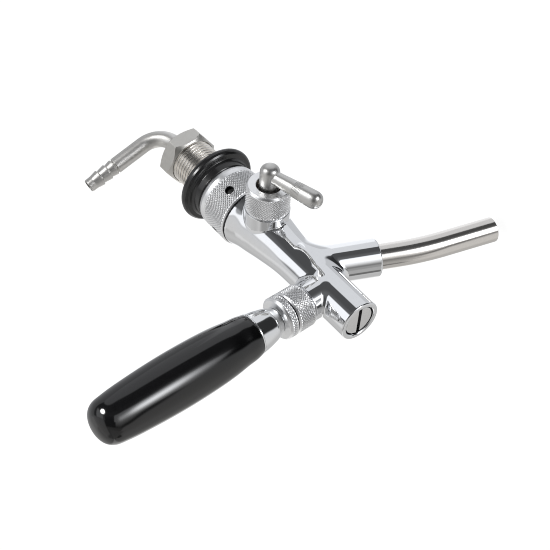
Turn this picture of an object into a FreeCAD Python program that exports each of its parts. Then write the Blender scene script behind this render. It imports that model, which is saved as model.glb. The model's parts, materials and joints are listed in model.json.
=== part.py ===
import FreeCAD, Part
import os
import math
import Sketcher
from FreeCAD import Vector, Rotation, Placement

# Flow-control beer tap with shank, coupling collar, hose tail, ball lever and curved spout.
# Millimetres, the tap as it hangs on a tower wall:
#   +Z  up, the way the handle points      +Y  into the wall, along the shank
#   -Y  towards the person pouring (front) +X  the side with the flow-control lever
#   origin: on the tap's long axis, in the plane of the wall washer's back face.

SIZES = [
    # shank, washer and wall side
    ("thread_rad", 11.45, "G5/8 shank thread, major radius"),
    ("shank_bore_rad", 5.0, "beer way through the shank"),
    ("shank_head_rad", 13.6, "head the coupling collar pulls on"),
    ("shank_tip_y", 21.5, "wall-side end of the shank"),
    ("washer_rad", 19.8, "black wall washer"),
    ("washer_thick", 5.0, "disc of the wall washer"),
    ("washer_hub_y", -9.9, "front of the washer's hub"),
    ("run_gap", 0.05, "radial gap of a turning or screwed fit"),
    # hose tail
    ("tail_nut_corner", 14.43, "hexagon corner radius, 25 across flats"),
    ("tail_nut_y0", 17.45, "front face of the tail nut"),
    ("tail_nut_y1", 26.8, "back face of the tail nut"),
    ("tail_rad", 4.1, "bent tube"),
    ("tail_bore", 3.1, "bore of the bent tube"),
    ("tail_leg_y", 45.5, "centre line of the tube's leg"),
    ("tail_bend", 12.0, "bend radius"),
    ("tail_leg_end", 46.0, "end of the leg above the tap axis"),
    ("tail_lean", -20.0, "leg turned about the tap axis, degrees"),
    # coupling collar
    ("collar_rad", 16.35, "knurled collar"),
    ("collar_y0", -10.0, "collar, wall side"),
    ("collar_y1", -29.6, "collar, front side"),
    ("collar_bore", 14.25, "collar thread"),
    ("spanner_hole_y", -21.9, "row of hook-spanner holes"),
    ("spanner_hole_rad", 2.0, "hook-spanner hole"),
    # body
    ("stub_rad", 14.2, "body's thread under the collar"),
    ("front_rad", 10.07, "front tube of the body"),
    ("front_y", -110.0, "front rim"),
    ("valve_bore", 5.2, "bore the plunger runs in"),
    ("seat_rad", 4.2, "valve seat opening"),
    ("seat_y", -60.0, "valve seat face"),
    # lever side
    ("lever_y", -86.9, "lever axis crosses the tap axis"),
    ("lever_lean", 3.38, "lever axis leans forward, degrees"),
    ("ball_up", 18.0, "ball centre above the tap axis"),
    ("ball_rad", 6.0, "lever ball"),
    ("bonnet_rad", 10.11, "knurled bonnet nut and lock ring"),
    ("bonnet_low", 14.87, "bonnet nut, lower rim"),
    ("bonnet_rim", 23.9, "bonnet nut, upper rim"),
    ("stud_rad", 3.0, "lever stud, M6"),
    ("grip_low", 44.4, "lower end of the grip"),
    ("grip_top", 124.8, "rounded end of the grip"),
    # flow-control side
    ("flow_y", -41.6, "flow-control axis crosses the tap axis"),
    ("flow_boss_rad", 10.44, "boss on the body"),
    ("flow_boss_top", 15.6, "end of the boss"),
    ("gland_rad", 10.17, "knurled gland nut"),
    ("gland_top", 28.8, "face of the gland nut"),
    ("spindle_rad", 4.6, "flow spindle"),
    ("spindle_top", 40.6, "domed end of the spindle"),
    ("arm_x", 35.0, "centre line of the flow lever"),
    ("arm_reach", 27.2, "spindle axis to the flow lever's end"),
    ("arm_drop", 14.5, "flow lever below the horizontal, degrees"),
    ("cam_throw", 1.8, "eccentric of the cam pin"),
    # spout
    ("spout_y", -71.2, "spout boss axis crosses the tap axis"),
    ("spout_lean", 21.7, "spout boss leans forward, degrees"),
    ("spout_boss_rad", 9.0, "spout boss"),
    ("spout_boss_end", 34.4, "end of the spout boss"),
    ("spout_rad", 6.0, "spout tube"),
    ("spout_bore", 5.0, "inside of the spout tube"),
]

# Sizes that stay out of the sheet: they place frames and edges, which aren't bound to it.
COLLAR_TURN = -26.6      # collar turned about the tap axis, degrees
TAIL_NUT_TURN = -37.6    # tail nut turned about the tap axis, degrees
TAIL_START_Y = 25.0      # front end of the bent tube
LEVER_BOSS_RAD = 9.3
SPOUT_TUBE_START = 22.0  # distances along the spout boss axis
SPOUT_BEND_START = 44.0
SPOUT_BEND_RAD = 150.0
SPOUT_BEND_ANGLE = 9.1   # degrees, turning the tube more upright
SPOUT_END_LENGTH = 27.0  # straight piece after the bend


class Driven:
    """A number with the spreadsheet expression it comes from."""

    def __init__(self, value, text):
        self.value, self.text = float(value), text

    @staticmethod
    def of(number):
        if isinstance(number, Driven):
            return number
        return Driven(number, repr(round(float(number), 6)))

    def __add__(self, other):
        other = Driven.of(other)
        return Driven(self.value + other.value, "(%s + %s)" % (self.text, other.text))

    def __sub__(self, other):
        other = Driven.of(other)
        return Driven(self.value - other.value, "(%s - %s)" % (self.text, other.text))

    def __rsub__(self, other):
        return Driven.of(other) - self

    def __mul__(self, other):
        other = Driven.of(other)
        return Driven(self.value * other.value, "(%s * %s)" % (self.text, other.text))

    def __neg__(self):
        return 0.0 - self


def chord(radius, offset):
    """Half chord of a circle at an offset from its centre."""
    radius, offset = Driven.of(radius), Driven.of(offset)
    square = radius * radius - offset * offset
    return Driven(math.sqrt(square.value), "sqrt(%s)" % square.text)


def bind(target, path, value):
    """Tie a property to the sheet where its value comes from there."""
    if "Sizes" in value.text:
        target.setExpression(path, value.text)


class Sizes:
    """The sheet's sizes, one attribute for each alias."""


doc = FreeCAD.newDocument("BeerTap")
sheet = doc.addObject("Spreadsheet::Sheet", "Sizes")
sheet.Label = "Sizes"
size = Sizes()
for row, (alias, number, words) in enumerate(SIZES, start=1):
    sheet.set("A%d" % row, words)
    sheet.set("B%d" % row, str(number))
    sheet.setAlias("B%d" % row, alias)
    setattr(size, alias, Driven(number, "Sizes.%s" % alias))
doc.recompute()

gap = size.run_gap

# Frames of pieces: (rotation that lays local Z on the axis, base point).
ALONG_Y = Rotation(Vector(1, 0, 0), -90)
TAP = (ALONG_Y, (0, 0, 0))
FLOW = (Rotation(Vector(0, 1, 0), 90), (0, size.flow_y, 0))
LEVER = (Rotation(Vector(1, 0, 0), size.lever_lean.value), (0, size.lever_y, 0))
SPOUT = (Rotation(Vector(1, 0, 0), 180 - size.spout_lean.value), (0, size.spout_y, 0))


def about_tap(degrees):
    return Rotation(Vector(0, 1, 0), degrees)


def sketch_frame(x=0, y=0, z=0, degrees=0):
    """Sketch offset: moved, and turned about the sketch's normal."""
    return Placement(Vector(x, y, z), Rotation(Vector(0, 0, 1), degrees))


# Sketch x runs along the tap axis.
QUARTER_TURN = sketch_frame(degrees=90)


# ---------------------------------------------------------------- bodies and sketches
nodes = []


def new_body(label, frame=(Rotation(), (0, 0, 0))):
    rotation, base = frame
    body = doc.addObject("PartDesign::Body", "Body_" + label)
    body.Label = label
    base = [Driven.of(b) for b in base]
    body.Placement = Placement(Vector(*[b.value for b in base]), rotation)
    for name, b in zip("xyz", base):
        bind(body, "Placement.Base.%s" % name, b)
    nodes.append(body)
    return body


def origin_feature(body, role):
    for feature in body.Origin.OriginFeatures:
        if feature.Role == role:
            return feature
    raise RuntimeError("no origin feature " + role)


def new_sketch(body, name, role="XZ_Plane", offset=None):
    sketch = body.newObject("Sketcher::SketchObject", body.Label + "_" + name)
    sketch.AttachmentSupport = [(origin_feature(body, role), "")]
    sketch.MapMode = "FlatFace"
    if offset is not None:
        sketch.AttachmentOffset = offset
    return sketch


def dimension(sketch, constraint, value):
    index = sketch.addConstraint(constraint)
    bind(sketch, "Constraints[%d]" % index, value)


def join(sketch, geo, end, next_geo, start):
    sketch.addConstraint(Sketcher.Constraint("Coincident", geo, end, next_geo, start))


def fix(sketch, geo, pos, x, y):
    """Hold a sketch point at x, y, both tied to the sheet; None leaves one free."""
    for kind, axis, value in (("DistanceX", -2, x), ("DistanceY", -1, y)):
        if value is None:
            continue
        value = Driven.of(value)
        if abs(value.value) < 1e-9:
            sketch.addConstraint(Sketcher.Constraint("PointOnObject", geo, pos, axis))
        else:
            held = Sketcher.Constraint(kind, -1, 1, geo, pos, value.value)
            dimension(sketch, held, value)


def vector(x, y):
    return Vector(Driven.of(x).value, Driven.of(y).value, 0)


def add_arc(sketch, start, end, centre):
    """Arc counterclockwise from start to end."""
    first = math.atan2(start.y - centre.y, start.x - centre.x)
    last = math.atan2(end.y - centre.y, end.x - centre.x)
    if last <= first:
        last += 2 * math.pi
    whole = Part.Circle(centre, Vector(0, 0, 1), (start - centre).Length)
    sketch.addGeometry(Part.ArcOfCircle(whole, first, last), False)


def outline(sketch, points):
    """Closed outline. A point is (x, y); an arc to a point is (x, y, cx, cy, ccw):
    its centre is held and only the end's y is, since the radius gives its x."""
    count = len(points)
    places = [vector(p[0], p[1]) for p in points]
    ends = []  # each segment's (start, end) point numbers
    for i in range(count):
        start, end = places[i], places[(i + 1) % count]
        target = points[(i + 1) % count]
        forward = len(target) == 2 or target[4]
        ends.append((1, 2) if forward else (2, 1))
        if len(target) == 2:
            sketch.addGeometry(Part.LineSegment(start, end), False)
        elif forward:
            add_arc(sketch, start, end, vector(target[2], target[3]))
        else:
            add_arc(sketch, end, start, vector(target[2], target[3]))
    for i in range(count):
        j = (i + 1) % count
        join(sketch, i, ends[i][1], j, ends[j][0])
    for i, point in enumerate(points):
        if len(point) == 2:
            fix(sketch, i, ends[i][0], point[0], point[1])
        else:
            fix(sketch, (i - 1) % count, 3, point[2], point[3])
            fix(sketch, i, ends[i][0], None, point[1])
    return sketch


def rect(x0, x1, y0, y1):
    return [(x0, y0), (x1, y0), (x1, y1), (x0, y1)]


def circle(sketch, x, y, radius):
    centre, radius = vector(x, y), Driven.of(radius)
    sketch.addGeometry(Part.Circle(centre, Vector(0, 0, 1), radius.value), False)
    if centre.Length < 1e-9:
        join(sketch, 0, 3, -1, 1)
    else:
        fix(sketch, 0, 3, x, y)
    dimension(sketch, Sketcher.Constraint("Radius", 0, radius.value), radius)
    return sketch


def bent_path(body, name, start, bend_in, centre, bend_out, end):
    """Line, counterclockwise arc and line; each point is (y, z) in the YZ plane."""
    sketch = new_sketch(body, name, "YZ_Plane")
    sketch.addGeometry(Part.LineSegment(vector(*start), vector(*bend_in)), False)
    add_arc(sketch, vector(*bend_in), vector(*bend_out), vector(*centre))
    sketch.addGeometry(Part.LineSegment(vector(*bend_out), vector(*end)), False)
    join(sketch, 0, 2, 1, 1)
    join(sketch, 1, 2, 2, 1)
    fix(sketch, 0, 1, *start)
    fix(sketch, 0, 2, *bend_in)
    fix(sketch, 1, 3, *centre)
    fix(sketch, 2, 1, None, bend_out[1])
    fix(sketch, 2, 2, *end)
    sketch.Visibility = False
    return sketch


# ---------------------------------------------------------------- features
def spin(body, sketch, name, cut=False, axis="V_Axis"):
    kind = "PartDesign::Groove" if cut else "PartDesign::Revolution"
    feature = body.newObject(kind, name)
    feature.Profile = sketch
    feature.ReferenceAxis = (sketch, [axis])
    feature.Angle = 360.0
    sketch.Visibility = False


def revolve(body, points, name="Profile", role="XZ_Plane", offset=None, cut=False, axis="V_Axis"):
    sketch = outline(new_sketch(body, name, role, offset), points)
    spin(body, sketch, body.Label + "_" + name + ("_cut" if cut else "_turn"), cut, axis)


def turned(label, frame, points):
    """Turned piece; its points are (radius, place along the frame's axis)."""
    body = new_body(label, frame)
    revolve(body, points)
    return body


def ring(label, frame, major, minor, along):
    """O-ring: a round section swept about the frame's axis."""
    body = new_body(label, frame)
    spin(body, circle(new_sketch(body, "Section"), major, along, minor), label + "_turn")


def pad(body, sketch, length):
    length = Driven.of(length)
    grow = body.newObject("PartDesign::Pad", sketch.Name + "_pad")
    grow.Profile = sketch
    grow.Length = length.value
    bind(grow, "Length", length)
    sketch.Visibility = False


def pocket(body, sketch, length, reverse=False, both=False):
    """Cut a sketch by a length, and make sure that it did remove metal."""
    doc.recompute()
    before = body.Shape.Volume
    cut = body.newObject("PartDesign::Pocket", sketch.Name + "_pocket")
    cut.Profile = sketch
    cut.Length = length
    cut.Reversed = reverse
    cut.Midplane = both
    sketch.Visibility = False
    doc.recompute()
    if not body.Shape.Volume < before - 0.01:
        raise RuntimeError("pocket %s cut nothing" % sketch.Name)
    return cut


def sweep(body, name, section, path, cut=False):
    kind = "PartDesign::SubtractivePipe" if cut else "PartDesign::AdditivePipe"
    pipe = body.newObject(kind, name)
    pipe.Profile = section
    pipe.Spine = (path, ["Edge1", "Edge2", "Edge3"])


# ---------------------------------------------------------------- wall side, on the tap axis
def make_shank():
    """Bored thread with the head that the collar draws towards the body."""
    bore, head, thread = size.shank_bore_rad, size.shank_head_rad, size.thread_rad
    tip = size.shank_tip_y
    turned("shank", TAP, [
        (bore, -17.1), (head - 0.4, -17.1), (head, -16.7), (head, -13.1), (thread, -13.1),
        (thread, tip - 0.8), (thread - 0.8, tip), (bore, tip)])


def make_wall_washer():
    """Round-edged disc with a stepped hub against the collar."""
    hole, rim, hub = size.thread_rad + 0.15, size.washer_rad, size.washer_hub_y
    turned("wall_washer", TAP, [
        (hole, hub), (15.2, hub), (15.6, hub + 0.4), (15.9, -6.1), (16.4, -5.3),
        (rim - 2.6, -size.washer_thick), (rim - 1.2, -4.7), (rim - 0.35, -3.9), (rim, -2.9),
        (rim, -1.9), (rim - 0.35, -0.9), (rim - 1.2, -0.2), (rim - 2.2, 0), (hole, 0)])


def make_inlet_seal():
    """Flat rubber seal between the shank's head and the body."""
    turned("inlet_seal", TAP, rect(6.5, 13.4, -19.1, -17.12))


def make_coupling_collar():
    """Lip behind the shank's head, thread on the body's stub, spanner holes."""
    hole, rim, bore = size.thread_rad + 0.15, size.collar_rad, size.collar_bore
    back, front = size.collar_y0, size.collar_y1
    frame = (about_tap(COLLAR_TURN).multiply(ALONG_Y), (0, 0, 0))
    collar = turned("coupling_collar", frame, [
        (hole, back), (rim - 1.1, back), (rim - 0.35, back - 0.9), (rim, back - 2.2),
        (rim, front + 0.5), (rim - 0.5, front), (bore, front), (bore, -13.05), (hole, -13.05)])
    sketch = new_sketch(collar, "SpannerHole", "YZ_Plane")
    circle(sketch, 0, size.spanner_hole_y, size.spanner_hole_rad)
    hole_cut = pocket(collar, sketch, 40.0, both=True)
    pattern = collar.newObject("PartDesign::PolarPattern", "SpannerHoles")
    pattern.Originals = [hole_cut]
    pattern.Axis = (origin_feature(collar, "Z_Axis"), [""])
    pattern.Angle = 180.0
    pattern.Occurrences = 2
    collar.Tip = pattern


def hexagon(sketch, corner):
    """Regular hexagon held by a construction circle, one corner on sketch x."""
    radius = corner.value
    points = [Vector(radius * math.cos(math.radians(60 * i)),
                     radius * math.sin(math.radians(60 * i)), 0) for i in range(6)]
    for i in range(6):
        sketch.addGeometry(Part.LineSegment(points[i], points[(i + 1) % 6]), False)
    for i in range(6):
        join(sketch, i, 2, (i + 1) % 6, 1)
    guide = sketch.addGeometry(Part.Circle(Vector(), Vector(0, 0, 1), radius), True)
    join(sketch, guide, 3, -1, 1)
    dimension(sketch, Sketcher.Constraint("Radius", guide, radius), corner)
    for i in range(6):
        sketch.addConstraint(Sketcher.Constraint("PointOnObject", i, 1, guide))
    for i in range(5):
        sketch.addConstraint(Sketcher.Constraint("Equal", i, i + 1))
    sketch.addConstraint(Sketcher.Constraint("PointOnObject", 0, 1, -1))


def make_tail_nut():
    """Hexagon nut that draws the hose tail's head onto the shank."""
    front, back, corner = size.tail_nut_y0, size.tail_nut_y1, size.tail_nut_corner
    nut = new_body("tail_nut", (about_tap(TAIL_NUT_TURN).multiply(ALONG_Y), (0, 0, 0)))
    sketch = new_sketch(nut, "Hexagon", "XY_Plane", sketch_frame(z=front.value))
    hexagon(sketch, corner)
    bind(sketch, "AttachmentOffset.Base.z", front)
    pad(nut, sketch, back - front)

    flat = corner.value * math.cos(math.radians(30))
    clear = 16.0  # outside the corners
    revolve(nut, [(flat - 0.5, front - 1), (clear, front - 1), (clear, front + 1.1),
                  (flat - 0.5, front)], "FrontBevel", cut=True)
    revolve(nut, [(flat, back + 1), (flat, back), (clear, back - 1.1), (clear, back + 1)],
            "BackBevel", cut=True)
    thread, step, tail_hole = size.thread_rad, 24.8, 5.2
    revolve(nut, [
        (0, front - 1), (thread + 0.3, front - 1), (thread + 0.3, front + 0.5),
        (thread + gap, front + 0.8), (thread + gap, step), (tail_hole, step),
        (tail_hole, back + 1), (0, back + 1)], "Thread", cut=True)


def make_tail_seal():
    """Flat seal in the tail nut."""
    turned("tail_seal", TAP, rect(5.2, 10.8, 21.55, 23.1))


def make_elbow_tail():
    """Hose tail: head in the nut, bent tube, barbed leg."""
    tail = new_body("elbow_tail", (about_tap(size.tail_lean.value), (0, 0, 0)))
    rad, leg, bend, top = size.tail_rad, size.tail_leg_y, size.tail_bend, size.tail_leg_end

    def tube(name, path_name, section_name, radius, cut=False):
        path = bent_path(tail, path_name, (TAIL_START_Y, 0), (leg - bend, 0),
                         (leg - bend, bend), (leg, bend), (leg, top))
        sketch = new_sketch(tail, section_name, "XZ_Plane", sketch_frame(z=-TAIL_START_Y))
        sweep(tail, name, circle(sketch, 0, 0, radius), path, cut)

    tube("Tube", "Path", "TubeSection", rad)
    revolve(tail, [(0, 23.2), (10.4, 23.2), (10.4, 24.7), (5.1, 24.7), (5.1, 26.9),
                   (rad - 0.2, 27.6), (0, 27.6)], "Head", "XY_Plane")

    # Necked end of the leg, with three hose barbs standing on it.
    on_leg = sketch_frame(x=leg.value)
    revolve(tail, rect(rad - 0.7, rad + 1, top - 16.4, top + 1), "Neck", "YZ_Plane", on_leg,
            cut=True)
    root, crest_end = rad - 0.75, rad - 0.65
    revolve(tail, [(root, top - 16.4), (rad, top - 16.4), (crest_end, top - 13.2),
                   (root, top - 13.2)], "Barb_a", "YZ_Plane", on_leg)
    for name, below_top in (("Barb_b", 12.2), ("Barb_c", 7.4)):
        foot = top - below_top
        revolve(tail, [(root, foot), (rad, foot), (rad, foot + 0.4), (crest_end, foot + 3.8),
                       (root, foot + 3.8)], name, "YZ_Plane", on_leg)

    bore = size.tail_bore
    tube("TubeBore", "BorePath", "BoreSection", bore, cut=True)
    revolve(tail, [(0, 23.0), (bore + 0.6, 23.0), (bore, 25.5), (0, 25.5)], "Mouth",
            "XY_Plane", cut=True)


# ---------------------------------------------------------------- tap body
LEVER_SKETCH = sketch_frame(x=size.lever_y.value, degrees=size.lever_lean.value)
SPOUT_SKETCH = sketch_frame(x=size.spout_y.value, degrees=180 - size.spout_lean.value)
FLOW_SKETCH = sketch_frame(y=size.flow_y.value)


def spout_direction(lean):
    """Unit vector down and forward, as (y, z) in the YZ plane."""
    return Vector(-math.sin(lean), -math.cos(lean), 0)


def spout_point(distance):
    """Point on the spout boss axis, as (y, z) in the YZ plane."""
    lean = math.radians(size.spout_lean.value)
    return Vector(size.spout_y.value, 0, 0) + spout_direction(lean) * distance


def cast_body(body):
    """Main casting along the tap and its bosses up, down and to the side."""
    stub, front_rad, front = size.stub_rad, size.front_rad, size.front_y
    # (y, radius)
    revolve(body, [
        (-19.1, 0), (-19.1, stub - 0.4), (-19.5, stub), (-29.9, stub), (-29.9, 15.3),
        (-30.2, 15.55), (-31.5, 15.25), (-33.0, 14.85), (-34.6, 14.4), (-36.4, 14.0),
        (-40.4, 13.4), (-46.0, 12.45), (-52.0, 11.45), (-55.5, 10.95), (-59.5, 10.5),
        (-63.0, 10.2), (-67.0, front_rad), (front + 0.9, front_rad),
        (front + 0.25, front_rad - 0.2), (front, front_rad - 0.7), (front, 0)],
        "Casting", "XY_Plane", QUARTER_TURN, axis="H_Axis")
    # (radius, height along the lever axis)
    low = size.bonnet_low
    revolve(body, [
        (0, 0), (LEVER_BOSS_RAD, 0), (LEVER_BOSS_RAD, low - 0.6), (8.6, low - 0.1),
        (8.6, 21.4), (8.2, 21.8), (0, 21.8)], "LeverBoss", "YZ_Plane", LEVER_SKETCH)
    # (radius, distance along the spout boss axis)
    rad, end = size.spout_boss_rad, size.spout_boss_end
    revolve(body, [
        (0, 0), (rad, 0), (rad, end - 0.9), (rad - 0.3, end - 0.25), (rad - 0.9, end),
        (0, end)], "SpoutBoss", "YZ_Plane", SPOUT_SKETCH)
    # (x, radius)
    rad, end = size.flow_boss_rad, size.flow_boss_top
    revolve(body, [
        (0, 0), (0, rad), (end, rad), (end, 8.8), (23.1, 8.8), (23.5, 8.4), (23.5, 0)],
        "FlowBoss", "XY_Plane", FLOW_SKETCH, axis="H_Axis")
    doc.recompute()


def boss_edges(shape, frame, radius, low, high):
    """Edges lying on a boss's cylinder, between two heights along its axis."""
    rotation, base = frame
    origin = Vector(0, base[1].value, 0)

    def on_boss(point):
        local = rotation.inverted().multVec(point - origin)
        return abs(math.hypot(local.x, local.y) - radius) < 0.02 and low < local.z < high

    names = []
    for number, edge in enumerate(shape.Edges, start=1):
        span = edge.LastParameter - edge.FirstParameter
        if all(on_boss(edge.valueAt(edge.FirstParameter + span * k / 8.0)) for k in range(9)):
            names.append("Edge%d" % number)
    return names


def blend_bosses(body):
    """Fillets where the lever and spout bosses meet the casting."""
    # name, frame, boss radius, lowest and highest edge point, fillet radius
    blends = (
        ("LeverFillet", LEVER, LEVER_BOSS_RAD, 1.0, 12.0, 2.2),
        ("SpoutFillet", SPOUT, size.spout_boss_rad.value, -math.inf, 22.0, 2.6))
    for name, frame, boss_rad, low, high, fillet_rad in blends:
        edges = boss_edges(body.Shape, frame, boss_rad, low, high)
        # A fillet with no edge would fail.
        if edges:
            base = body.Tip
            fillet = body.newObject("PartDesign::Fillet", name)
            fillet.Base = (base, edges)
            fillet.Radius = fillet_rad
            doc.recompute()


def bore_body(body):
    """The ways and chambers inside the casting."""
    # Along the tap axis, (y, radius): control chamber, seat, plunger bore, plug thread.
    bore, seat, seat_y = size.valve_bore, size.seat_rad, size.seat_y
    revolve(body, [
        (-18.0, 0), (-18.0, 8.6), (-19.1, 8.6), (-30.0, 8.2), (-50.0, 6.4), (seat_y, 6.2),
        (seat_y, seat), (seat_y - 2.5, seat), (seat_y - 3.2, bore), (-100.0, bore),
        (-100.0, 7.7), (-112.0, 7.7), (-112.0, 0)],
        "Bore", "XY_Plane", QUARTER_TURN, cut=True, axis="H_Axis")
    revolve(body, rect(0, 6.7, 12.5, 23.0), "BallChamber", "YZ_Plane", LEVER_SKETCH, cut=True)
    # Slot from the ball chamber down to the plunger, long enough for the finger's swing.
    slot = outline(new_sketch(body, "FingerSlot", "YZ_Plane", LEVER_SKETCH), [
        (-3.2, 0.5), (7.7, 0.5), (7.7, 5.2), (6.3, 12.7), (-3.2, 12.7)])
    pocket(body, slot, 5.6, both=True)
    revolve(body, rect(0, size.spout_rad + gap, 20.0, 36.0), "SpoutSocket", "YZ_Plane",
            SPOUT_SKETCH, cut=True)
    # Passage from the plunger bore down to the spout socket.
    high = Vector(-66.6, 0, 0)
    drop = spout_point(20.6) - high
    lean = math.degrees(math.atan2(-drop.x, drop.y))
    revolve(body, rect(0, 3.3, 0, drop.Length), "Passage", "YZ_Plane",
            sketch_frame(x=high.x, degrees=lean), cut=True)
    # Flow spindle's bore and gland chamber, (x, radius).
    revolve(body, [(4.0, 0), (4.0, 4.05), (12.0, 4.05), (12.0, 6.7), (25.0, 6.7), (25.0, 0)],
            "SpindleBore", "XY_Plane", FLOW_SKETCH, cut=True, axis="H_Axis")


def make_tap_body():
    body = new_body("tap_body")
    cast_body(body)
    blend_bosses(body)
    bore_body(body)


def make_front_plug():
    """Front plug with a screwdriver slot, and its seal."""
    plug = turned("front_plug", TAP, [
        (0, -109.35), (6.85, -109.35), (7.15, -109.05), (7.15, -107.0), (7.62, -106.6),
        (7.62, -102.0), (5.6, -102.0), (5.6, -100.2), (0, -100.2)])
    slot = outline(new_sketch(plug, "Slot", "YZ_Plane"), rect(-0.65, 0.65, -110.5, -107.75))
    pocket(plug, slot, 20.0, both=True)
    ring("front_plug_oring", TAP, major=6.65, minor=0.88, along=-101.0)


# ---------------------------------------------------------------- valve along the tap axis
def make_plunger():
    """Valve plunger, pocketed for the lever's finger, and its seal."""
    run, lever = size.valve_bore - gap, size.lever_y
    plunger = turned("valve_plunger", TAP, [
        (0, -95.0), (size.valve_bore - 0.45, -95.0), (run, -94.6), (run, -79.5),
        (4.0, -79.5), (4.0, -77.6), (run, -77.6), (run, -77.0), (2.6, -76.4), (2.6, -60.05),
        (2.0, -60.05), (2.0, -53.7), (1.7, -53.4), (0, -53.4)])
    # (y, z)
    finger = outline(new_sketch(plunger, "FingerPocket", "YZ_Plane", QUARTER_TURN), [
        (lever - 2.75, -2.9), (lever + 2.75, -2.9), (lever + 2.75, 7.0), (lever - 5.3, 7.0),
        (lever - 2.75, 0.8)])
    pocket(plunger, finger, 5.5, both=True)
    ring("plunger_oring", TAP, major=4.6, minor=0.59, along=-78.55)


def make_seat_washer():
    turned("seat_washer", TAP, [
        (2.05, -59.98), (5.5, -59.98), (5.6, -59.8), (5.6, -56.6), (2.05, -56.6)])
    turned("seat_washer_nut", TAP, [
        (2.05, -56.55), (4.4, -56.55), (4.4, -54.2), (4.0, -53.8), (2.05, -53.8)])


# ---------------------------------------------------------------- flow control
def make_compensator_cone():
    """Cone with crossed fins on its stem."""
    cone = turned("compensator_cone", TAP, [
        (0, -44.9), (4.6, -44.9), (5.3, -44.3), (7.1, -24.5), (6.4, -22.6), (2.2, -20.5),
        (2.2, -10.0), (1.6, -9.4), (0, -9.4)])
    for name, half_x, half_z in (("FinAcross", 4.85, 0.6), ("FinUp", 0.6, 4.85)):
        sketch = new_sketch(cone, name, "XY_Plane", sketch_frame(z=-16.5))
        pad(cone, outline(sketch, rect(-half_x, half_x, -half_z, half_z)), 6.0)
    # Cross slot for the cam pin, open towards the spindle; (y, z).
    slot = outline(new_sketch(cone, "CamSlot", "YZ_Plane", QUARTER_TURN),
                   rect(size.flow_y - 1.95, size.flow_y + 1.95, -3.7, 3.7))
    pocket(cone, slot, 9.0, reverse=True)


def make_flow_spindle():
    rad, top = size.spindle_rad, size.spindle_top
    land, groove = 6.65, 5.0
    spindle = turned("flow_spindle", FLOW, [
        (0, 7.6), (4.0, 7.6), (4.0, 12.1), (land, 12.1), (land, 13.3), (groove, 13.3),
        (groove, 15.1), (land, 15.1), (land, 16.4), (groove, 16.4), (groove, 18.2),
        (land, 18.2), (land, 19.5), (rad, 19.5), (rad, top - 1.9), (rad - 0.7, top - 0.9),
        (rad - 2.1, top - 0.2), (0, top)])
    # The cam pin stands off-centre on the spindle's inner end;
    # turned, it pushes the cone along the tap.
    sketch = new_sketch(spindle, "CamPin", "XY_Plane", sketch_frame(z=0.6))
    pad(spindle, circle(sketch, -size.cam_throw, 0, 1.5), 7.2)
    # Cross hole for the flow lever's spigot.
    cross = sketch_frame(z=size.arm_x.value, degrees=180 + size.arm_drop.value)
    revolve(spindle, rect(0, 2.0, 0.8, 6.0), "CrossHole", "XY_Plane", cross, cut=True)


def make_flow_gland():
    """Seals, bush and knurled nut round the spindle."""
    for label, along in (("flow_oring_inner", 14.2), ("flow_oring_outer", 17.3)):
        ring(label, FLOW, major=5.85, minor=0.82, along=along)
    hole = size.spindle_rad + 0.1
    turned("flow_thrust_washer", FLOW, rect(hole, 6.6, 19.55, 20.75))
    turned("flow_gland_bush", FLOW, rect(hole, 6.6, 20.8, 24.95))
    rad, low, top = size.gland_rad, size.flow_boss_top + 0.05, size.gland_top
    turned("flow_gland_nut", FLOW, [
        (8.85, low), (rad - 0.4, low), (rad, low + 0.4), (rad, top - 0.9), (rad - 0.9, top),
        (6.1, top), (5.92, top - 0.2), (5.92, 25.0), (8.85, 25.0)])


def make_flow_lever():
    """Turned handle standing out of the spindle, pointing forward and a little down."""
    drop = math.radians(size.arm_drop.value)
    direction = Vector(0, -math.cos(drop), -math.sin(drop))
    frame = (Rotation(Vector(0, 0, 1), direction), (size.arm_x, size.flow_y, 0))
    end = size.arm_reach
    arm = turned("flow_lever_arm", frame, [
        (0, 2.5), (3.25, 2.5), (3.3, 5.5), (3.5, 9.0), (3.75, 13.0), (4.05, 17.0),
        (4.3, 20.5), (4.42, end - 4.3), (4.25, end - 2.9), (3.75, end - 1.75),
        (2.95, end - 0.85), (1.7, end - 0.22), (0, end)])
    # The foot is hollowed to sit round the spindle; the spigot goes into the cross hole.
    saddle = circle(new_sketch(arm, "Saddle", "YZ_Plane"), 0, 0, size.spindle_rad + 0.02)
    pocket(arm, saddle, 12.0, both=True)
    revolve(arm, rect(0, 1.95, 1.0, 6.0), "Spigot")


# ---------------------------------------------------------------- lever and handle
ball_up, stud = size.ball_up, size.stud_rad
socket = size.ball_rad + gap  # sphere of the seat and washer that hold the ball
stud_hole = stud + gap


def make_lever_stem():
    """Finger with a rounded end, ball and stud in one."""
    ball, neck, finger, finger_root = size.ball_rad, 2.2, 2.6, 1.9
    turned("lever_stem", LEVER, [
        (0, -finger), (finger_root, chord(finger, finger_root), 0, 0, True), (neck, 4.5),
        (neck, ball_up - chord(ball, neck)),
        (stud, ball_up + chord(ball, stud), 0, ball_up, True),
        (stud, 63.4), (stud - 0.6, 64.0), (0, 64.0)])


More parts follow.
